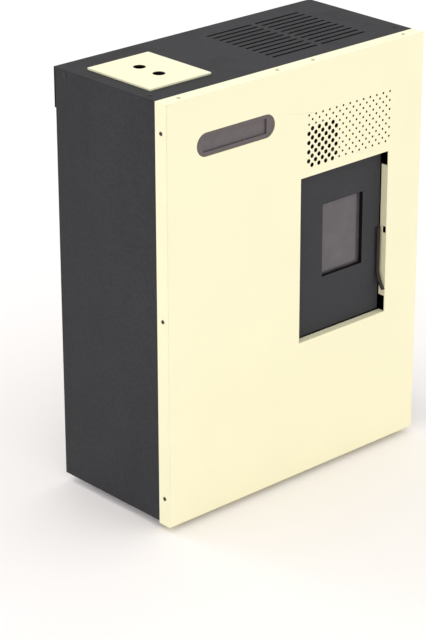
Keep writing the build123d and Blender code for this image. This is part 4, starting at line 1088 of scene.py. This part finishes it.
@dataclass
class SheetScrew:
    """Pan-head sheet screws with a six-lobe recess, one model copied to each place."""

    head_radius: float = 0.0045
    head_height: float = 0.0022
    shank_radius: float = 0.0020
    length: float = 0.009
    sides: int = 24
    rim_share: float = 0.55
    dome_steps: tuple[tuple[float, float], ...] = ((0.22, 0.30), (0.24, 0.15))
    flat_share: float = 0.99
    ring_share: float = 0.56
    lobes: int = 6
    lobe_gap: tuple[float, float] = (22.0, 53.0)
    gap_pinch: float = 0.66
    recess_share: float = 0.6
    point_share: float = 0.2
    point_taper: float = 0.4
    smooth_angle: float = 35.0
    spin_step: float = 37.0
    flange_y: float = FRONT_Y + 0.019
    side_rows: tuple[float, ...] = (0.082, 0.517, 0.952)
    top_columns: tuple[float, ...] = (-0.346, -0.055, 0.055, 0.346)
    rear_x: float = HALF_WIDTH - 0.012
    rear_rows: tuple[float, ...] = (0.060, 0.360, 0.660, 0.900)
    side_screw_y: float = FRONT_Y + 0.339
    side_screw_z: float = TOP_Z - 0.0125
    ear_x: float = HALF_WIDTH - 0.019
    ear_y: float = FRONT_Y + 0.0765

    def is_lobe_gap(self, point: Vector) -> bool:
        """True for a point of the head's inner ring that lies between two lobes of the recess.

        Args:
            point: A point of the screw.

        Returns:
            Whether it does.
        """
        inner = math.hypot(point.x, point.y) < self.head_radius * self.ring_share
        on_top = point.z > self.head_height * self.flat_share
        turn = math.degrees(math.atan2(point.y, point.x)) % (360.0 / self.lobes)
        return inner and on_top and self.lobe_gap[0] < turn < self.lobe_gap[1]

    def is_disc(self, face: bmesh.types.BMFace, way: int) -> bool:
        """True for the whole round face that looks up (way 1) or down (way -1)."""
        return way * face.normal.z > FACES_AXIS and len(face.verts) == self.sides

    def model(self) -> bpy.types.Object:
        """Model one screw at the origin, its head upwards.

        Returns:
            The screw.
        """
        rim_height = self.head_height * self.rim_share
        bpy.ops.mesh.primitive_cylinder_add(vertices=self.sides, radius=self.head_radius, depth=rim_height,
                                            location=(0, 0, rim_height / 2))
        screw = Bench.started("sheet_screw")
        with Bench.editing(screw):
            Bench.pick(screw, "faces", lambda face: face.normal.z > FACES_AXIS)
            for inset, rise in self.dome_steps:
                bpy.ops.mesh.inset(thickness=self.head_radius * inset)
                bpy.ops.transform.translate(value=(0, 0, self.head_height * rise))
            bpy.ops.mesh.select_mode(type="VERT")
            Bench.pick(screw, "verts", lambda vertex: self.is_lobe_gap(vertex.co))
            bpy.ops.transform.resize(value=(self.gap_pinch, self.gap_pinch, 1.0), center_override=(0, 0, 0))
            bpy.ops.mesh.select_mode(type="FACE")
            Bench.pick(screw, "faces", lambda face: self.is_disc(face, 1))
            Bench.draw((0, 0, -self.head_height * self.recess_share))
            Bench.pick(screw, "faces", lambda face: self.is_disc(face, -1))
            bpy.ops.mesh.inset(thickness=self.head_radius - self.shank_radius)
            Bench.draw((0, 0, -self.length * (1.0 - self.point_share)))
            Bench.draw((0, 0, -self.length * self.point_share))
            bpy.ops.transform.resize(value=(self.point_taper, self.point_taper, 1.0),
                                     center_override=(0, 0, -self.length))
        Bench.smooth(screw, self.smooth_angle)
        return screw

    def spots(self) -> list[tuple[Place, Place]]:
        """Each screw's seat and the way its head points.

        Returns:
            Seat and way of each screw.
        """
        found = []
        for side in Side:
            sign = side.value
            found += [((sign * HALF_WIDTH, self.flange_y, z), (sign, 0, 0)) for z in self.side_rows]
            found += [((sign * self.rear_x, REAR_Y, z), (0, 1, 0)) for z in self.rear_rows]
            found.append(((sign * HALF_WIDTH, self.side_screw_y, self.side_screw_z), (sign, 0, 0)))
            found.append(((sign * self.ear_x, self.ear_y, TOP_Z), (0, 0, 1)))
        for x in self.top_columns:
            found.append(((x, self.flange_y, TOP_Z), (0, 0, 1)))
            found.append(((x, self.flange_y, PANEL_LOW_Z), (0, 0, -1)))
        return found

    def build(self) -> None:
        """Copy the screw to every place, each turned a little differently."""
        master = self.model()
        copies = []
        for number, (seat, outward) in enumerate(self.spots()):
            stand = Vector((0, 0, 1)).rotation_difference(Vector(outward)).to_matrix().to_4x4()
            spin = Matrix.Rotation(math.radians(self.spin_step * number), 4, "Z")
            move = Matrix.Translation(seat) @ stand @ spin
            copies.append(Bench.copied(master, f"screw_{number:02d}", move))
        bpy.data.objects.remove(master)
        screws = Bench.joined(copies, "cabinet_screws_finished")
        Workshop.adopt(screws, SCREW_ZINC, "cabinet_screws", "screw_steel")


@dataclass
class LevellingFoot:
    """Rubber pads under the cabinet: a ribbed disc with a raised hub."""

    radius: float = 0.020
    height: float = 0.008
    disc_share: float = 0.5
    ribs: int = 24
    rib_edge: float = 0.0003
    rib_draw: float = 0.97
    shoulder: float = 0.0022
    shoulder_share: float = 0.2
    hub_inset: float = 0.0070
    hub_share: float = 0.3
    sole_steps: tuple[float, ...] = (0.0015, 0.0060)
    sole_hollow: float = 0.0008
    rounding: float = 0.0004
    inset_x: float = 0.060
    front_y: float = FRONT_Y + 0.074
    rear_y: float = REAR_Y - 0.062

    def is_rib(self, face: bmesh.types.BMFace) -> bool:
        """True for every second upright face round the pad.

        Args:
            face: A face of the pad.

        Returns:
            Whether it is one.
        """
        centre = face.calc_center_median()
        turn = math.degrees(math.atan2(centre.y, centre.x)) % 360.0
        return abs(face.normal.z) < 1.0 - FACES_AXIS and int(turn / (180.0 / self.ribs)) % 2 == 0

    def model(self) -> bpy.types.Object:
        """Model one pad at the origin, standing on the floor.

        Returns:
            The pad.
        """
        disc_height = self.height * self.disc_share
        bpy.ops.mesh.primitive_cylinder_add(vertices=self.ribs * 2, radius=self.radius, depth=disc_height,
                                            location=(0, 0, disc_height / 2))
        pad = Bench.started("foot_pad")
        with Bench.editing(pad):
            Bench.pick(pad, "faces", self.is_rib)
            bpy.ops.mesh.inset(thickness=self.rib_edge, use_individual=True)
            bpy.ops.transform.resize(value=(self.rib_draw, self.rib_draw, 1.0), center_override=(0, 0, 0))
            Bench.pick(pad, "faces", lambda face: face.normal.z > FACES_AXIS)
            bpy.ops.mesh.inset(thickness=self.shoulder)
            bpy.ops.transform.translate(value=(0, 0, self.height * self.shoulder_share))
            bpy.ops.mesh.inset(thickness=self.hub_inset)
            Bench.draw((0, 0, self.height * self.hub_share))
            Bench.pick(pad, "faces", lambda face: face.normal.z < -FACES_AXIS)
            for step in self.sole_steps:
                bpy.ops.mesh.inset(thickness=step)
            bpy.ops.transform.translate(value=(0, 0, self.sole_hollow))
        Bench.soften(pad, self.rounding)
        return pad

    def build(self) -> None:
        """Copy the pad to the four feet."""
        master = self.model()
        copies = []
        for side in Side:
            for y in (self.front_y, self.rear_y):
                move = Matrix.Translation((side.value * (HALF_WIDTH - self.inset_x), y, 0))
                copies.append(Bench.copied(master, "foot_pad_copy", move))
        bpy.data.objects.remove(master)
        Workshop.adopt(Bench.joined(copies, "foot_pads_finished"), RUBBER, "foot_pads", "foot_rubber")


@dataclass
class Cabinet(Assembly):
    """Outer sheets of the stove with their screws and feet."""

    finishes: dict[str, Finish] = field(default_factory=lambda: {
        "left_side_panel": ANTHRACITE, "right_side_panel": ANTHRACITE, "top_cover": TOP_SHADED_ANTHRACITE,
        "rear_panel": ANTHRACITE, "base_tray": ZINC, "foot_studs": ZINC, "divider_wall": ZINC})

    def build(self) -> None:
        """Dress the sheets and build the front, the screws and the feet."""
        super().build()
        PerforatedFront().build()
        SheetScrew().build()
        LevellingFoot().build()


@dataclass
class Display(Assembly):
    """Smoked pill-shaped panel with its lens and board."""

    finishes: dict[str, Finish] = field(default_factory=lambda: {
        "display_carrier": SMOKED, "display_window": SMOKED_LENS, "display_board": BOARD})


@dataclass
class HopperSide(Assembly):
    """Hopper, lid, auger drive and chute."""

    finishes: dict[str, Finish] = field(default_factory=lambda: {
        "hopper_lid": LID_SHADED_CREAM, "lid_finger_trough": BLACK_PLASTIC, "hopper": ZINC, "hopper_guard": ZINC,
        "auger_tube": CLEAN_BLACK, "auger_screw": STEEL, "gear_motor": STEEL, "pellet_chute": ZINC})


@dataclass
class LeverHandle:
    """Flat lever on a round hub, flared forward at its foot into a finger grip."""

    pivot: Place = (0.276, FRONT_Y + 0.0203, 0.558)
    width: float = 0.010
    thickness: float = 0.005
    stand: float = 0.003
    above: float = 0.008
    straight: float = 0.104
    flare_steps: tuple[Place, ...] = ((0, -0.0050, -0.0170), (0, -0.0075, -0.0140), (0, -0.0072, -0.0100))
    lever_rounding: float = 0.0012
    lever_rounds: int = 3
    sharp_angle: float = 12.0
    spindle_radius: float = 0.004
    spindle_length: float = 0.0173
    hub_radius: float = 0.0065
    hub_sides: int = 32
    hub_gap: float = 0.0004
    hub_rounding: float = 0.0004

    def lever(self) -> bpy.types.Object:
        """Model the lever: a bar whose lower end is drawn forward in steps.

        Returns:
            The lever.
        """
        x, face_y, z = self.pivot
        mid_y = face_y - self.stand - self.thickness / 2
        bpy.ops.mesh.primitive_cube_add(size=1.0, location=(x, mid_y, z + (self.above - self.straight) / 2),
                                        scale=(self.width, self.thickness, self.above + self.straight))
        lever = Bench.started("lever")
        with Bench.editing(lever):
            Bench.pick(lever, "faces", lambda face: face.normal.z < -FACES_AXIS)
            for step in self.flare_steps:
                Bench.draw(step)
        Bench.soften(lever, self.lever_rounding, self.lever_rounds, self.sharp_angle)
        return lever

    def hub(self) -> bpy.types.Object:
        """Model the hub behind the lever and the spindle through the door.

        Returns:
            The hub and spindle.
        """
        x, face_y, z = self.pivot
        length = self.stand - self.hub_gap
        bpy.ops.mesh.primitive_cylinder_add(vertices=self.hub_sides, radius=self.hub_radius, depth=length,
                                            location=(x, face_y - self.stand + length / 2, z),
                                            rotation=(math.pi / 2, 0, 0))
        hub = Bench.started("hub")
        with Bench.editing(hub):
            Bench.pick(hub, "faces", lambda face: face.normal.y > FACES_AXIS)
            bpy.ops.mesh.inset(thickness=self.hub_radius - self.spindle_radius)
            Bench.draw((0, self.spindle_length - length, 0))
        Bench.soften(hub, self.hub_rounding)
        return hub

    def build(self) -> None:
        """Join the lever and its hub."""
        handle = Bench.joined([self.lever(), self.hub()], "door_handle_finished")
        Workshop.adopt(handle, LEVER_PAINT, "door_handle", "handle_metal")


@dataclass
class RopeSeal:
    """Rope laid round the back of the door, in place of the plain CAD ring."""

    corner: float = 0.010
    corner_segments: int = 6
    flatness: float = 0.96
    inset: float = 0.004
    section_resolution: int = 4
    smooth_angle: float = 60.0

    def build(self) -> None:
        """Sweep a round section along a rounded frame."""
        low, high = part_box("door_gasket")
        radius = (high[1] - low[1]) / 2 * self.flatness
        middle = [(low[axis] + high[axis]) / 2 for axis in range(3)]
        bpy.ops.mesh.primitive_plane_add(size=1.0, location=middle, rotation=(math.pi / 2, 0, 0))
        bpy.context.object.scale = (high[0] - low[0] - 2 * self.inset, high[2] - low[2] - 2 * self.inset, 1.0)
        rope = Bench.started("door_gasket_finished")
        with Bench.editing(rope, "VERT"):
            bpy.ops.mesh.select_all(action="SELECT")
            bpy.ops.mesh.bevel(offset=self.corner, segments=self.corner_segments, affect="VERTICES")
            bpy.ops.mesh.select_all(action="SELECT")
            bpy.ops.mesh.delete(type="ONLY_FACE")
        bpy.ops.object.convert(target="CURVE")
        path = bpy.context.object.data
        path.bevel_depth = radius
        path.bevel_resolution = self.section_resolution
        bpy.ops.object.convert(target="MESH")
        rope = bpy.context.object
        with Bench.editing(rope):
            bpy.ops.mesh.select_all(action="SELECT")
            bpy.ops.mesh.remove_doubles(threshold=MERGE_DISTANCE)
            bpy.ops.mesh.normals_make_consistent(inside=False)
        Bench.smooth(rope, self.smooth_angle)
        Workshop.adopt(rope, ROPE, "door_gasket", "rope")


@dataclass
class FireDoor(Assembly):
    """Slab door with its glass, seal, hinges and handle."""

    finishes: dict[str, Finish] = field(default_factory=lambda: {
        "door_slab": DOOR_PAINT, "door_glass": GLASS, "glass_clips": STEEL, "door_knuckles": HOT_BLACK,
        "hinge_brackets": HOT_BLACK, "hinge_pins": STEEL, "latch_cam": STEEL, "latch_keeper": STEEL})

    def build(self) -> None:
        """Dress the door and build its handle and seal."""
        super().build()
        LeverHandle().build()
        RopeSeal().build()


@dataclass
class Hearth(Assembly):
    """Firebox with everything inside it."""

    finishes: dict[str, Finish] = field(default_factory=lambda: {
        "firebox": HOT_BLACK, "firebox_stands": ZINC, "baffle_plate": HOT_BLACK, "fireback": CAST,
        "pot_holder": HOT_BLACK, "burn_pot": CAST, "ash_pan": ZINC, "igniter": STEEL})


@dataclass
class AirAndSmoke(Assembly):
    """Heat exchanger, blower, smoke fan, flue and combustion air parts."""

    finishes: dict[str, Finish] = field(default_factory=lambda: {
        "heat_exchanger": HOT_BLACK, "air_tubes": STEEL, "air_plenum": ZINC, "blower_housing": ZINC,
        "blower_wheel": ZINC, "blower_shaft": STEEL, "blower_motor": CLEAN_BLACK, "smoke_duct": HOT_BLACK,
        "smoke_fan_housing": ZINC, "smoke_fan_wheel": STEEL, "smoke_fan_shaft": STEEL,
        "smoke_fan_motor": CLEAN_BLACK, "flue_spigot": CLEAN_BLACK, "air_pipe": ZINC, "air_box": ZINC})


@dataclass
class Controls(Assembly):
    """Mains inlet, switch, control box and safety parts."""

    finishes: dict[str, Finish] = field(default_factory=lambda: {
        "power_inlet": BLACK_PLASTIC, "rocker_switch": BLACK_PLASTIC, "control_box": GREY_PLASTIC,
        "safety_thermostat": BLACK_PLASTIC, "reset_button": GREY_PLASTIC, "pressure_switch": GREY_PLASTIC})


@dataclass(frozen=True)
class SoftLight:
    """A square soft light: its place and aim, its size in metres and its power in watts."""

    name: str
    place: Place
    aim: Place
    size: float
    power: float

    def build(self) -> None:
        """Hang the light."""
        data = bpy.data.lights.new(self.name, "AREA")
        data.size = self.size
        data.energy = self.power
        lamp = bpy.data.objects.new(self.name, data)
        way = (Vector(self.aim) - Vector(self.place)).normalized()
        lamp.matrix_world = Matrix.Translation(self.place) @ way.to_track_quat("-Z", "Y").to_matrix().to_4x4()
        bpy.context.collection.objects.link(lamp)


@dataclass
class Studio:
    """Pale floor, soft lights, white surroundings and the photograph's camera."""

    camera_place: Place = (-3.69105, -3.95295, 2.66337)
    look: Place = (0.6202082, 0.6786153, -0.3934756)
    roll: float = -0.0023
    focal_pixels: float = 2483.687
    image_height: float = 640.0
    sensor: float = 36.0
    farthest: float = 100.0
    ambient: float = 1.06
    floor_size: float = 40.0
    floor_colour: Colour = (0.90, 0.865, 0.85)
    floor_haze: Cloud = Cloud(1.5, detail=2.0)
    floor_tone: float = 1.02
    floor_glow: float = 0.04
    lights: tuple[SoftLight, ...] = (
        SoftLight("key_soft", (-3.4, -4.6, 5.2), (0, -0.2, 0.5), 2.0, 18.0),
        SoftLight("back_soft", (-1.6, 4.2, 5.0), (0, 0, 0.3), 2.4, 45.0))

    def camera(self) -> None:
        """Place the camera as the photograph's perspective was solved."""
        forward = Vector(self.look).normalized()
        right = forward.cross(Vector((0, 0, 1))).normalized()
        up = right.cross(forward)
        rolled_right = right * math.cos(self.roll) + up * math.sin(self.roll)
        rolled_up = rolled_right.cross(forward)
        axes = Matrix((rolled_right, rolled_up, -forward)).transposed().to_4x4()
        data = bpy.data.cameras.new("photo_camera")
        data.sensor_width = self.sensor
        data.lens = self.focal_pixels / self.image_height * self.sensor
        data.clip_end = self.farthest
        camera = bpy.data.objects.new("photo_camera", data)
        camera.matrix_world = Matrix.Translation(self.camera_place) @ axes
        bpy.context.collection.objects.link(camera)
        bpy.context.scene.camera = camera

    def world(self) -> None:
        """White: level 1 where the camera sees it, also through glass, and the ambient level elsewhere."""
        world = bpy.data.worlds.new("studio")
        bpy.context.scene.world = world
        graph = Graph(world)
        straight = graph.node("ShaderNodeLightPath", {}, {}, "Is Camera Ray")
        through = graph.node("ShaderNodeLightPath", {}, {}, "Is Transmission Ray")
        seen = graph.node("ShaderNodeMath", {"operation": "MAXIMUM"}, {0: straight, 1: through})
        level = graph.node("ShaderNodeMapRange", {}, {"Value": seen, "To Min": self.ambient, "To Max": 1.0})
        background = graph.node("ShaderNodeBackground", {}, {"Color": WHITE, "Strength": level})
        graph.add("ShaderNodeOutputWorld", {}, {"Surface": background})

    def floor(self) -> None:
        """Lay a wide pale floor."""
        bpy.ops.object.select_all(action="DESELECT")
        bpy.ops.mesh.primitive_plane_add(size=self.floor_size, location=(0, 0, 0))
        floor = Bench.started("studio_floor")
        graph = Graph(bpy.data.materials.new("studio_floor"))
        hazy = scaled(self.floor_colour, self.floor_tone)
        tone = graph.mix(graph.noise(self.floor_haze), self.floor_colour, hazy)
        coat = graph.principled(Base_Color=tone, Roughness=0.7, Specular_IOR_Level=0.1,
                                Emission_Color=WHITE, Emission_Strength=self.floor_glow)
        floor.data.materials.append(coat)

    def build(self) -> None:
        """Set up the studio."""
        bpy.context.scene.view_settings.view_transform = "Standard"
        self.camera()
        self.world()
        self.floor()
        for light in self.lights:
            light.build()


def main() -> None:
    """Build each sub-assembly in order and report it."""
    logging.basicConfig(level=logging.INFO, format="%(name)s: %(message)s")
    for kind in (Cabinet, Display, HopperSide, FireDoor, Hearth, AirAndSmoke, Controls, Studio):
        kind().build()
        LOG.info("built %s", kind.__name__)


if __name__ == "__main__":
    main()
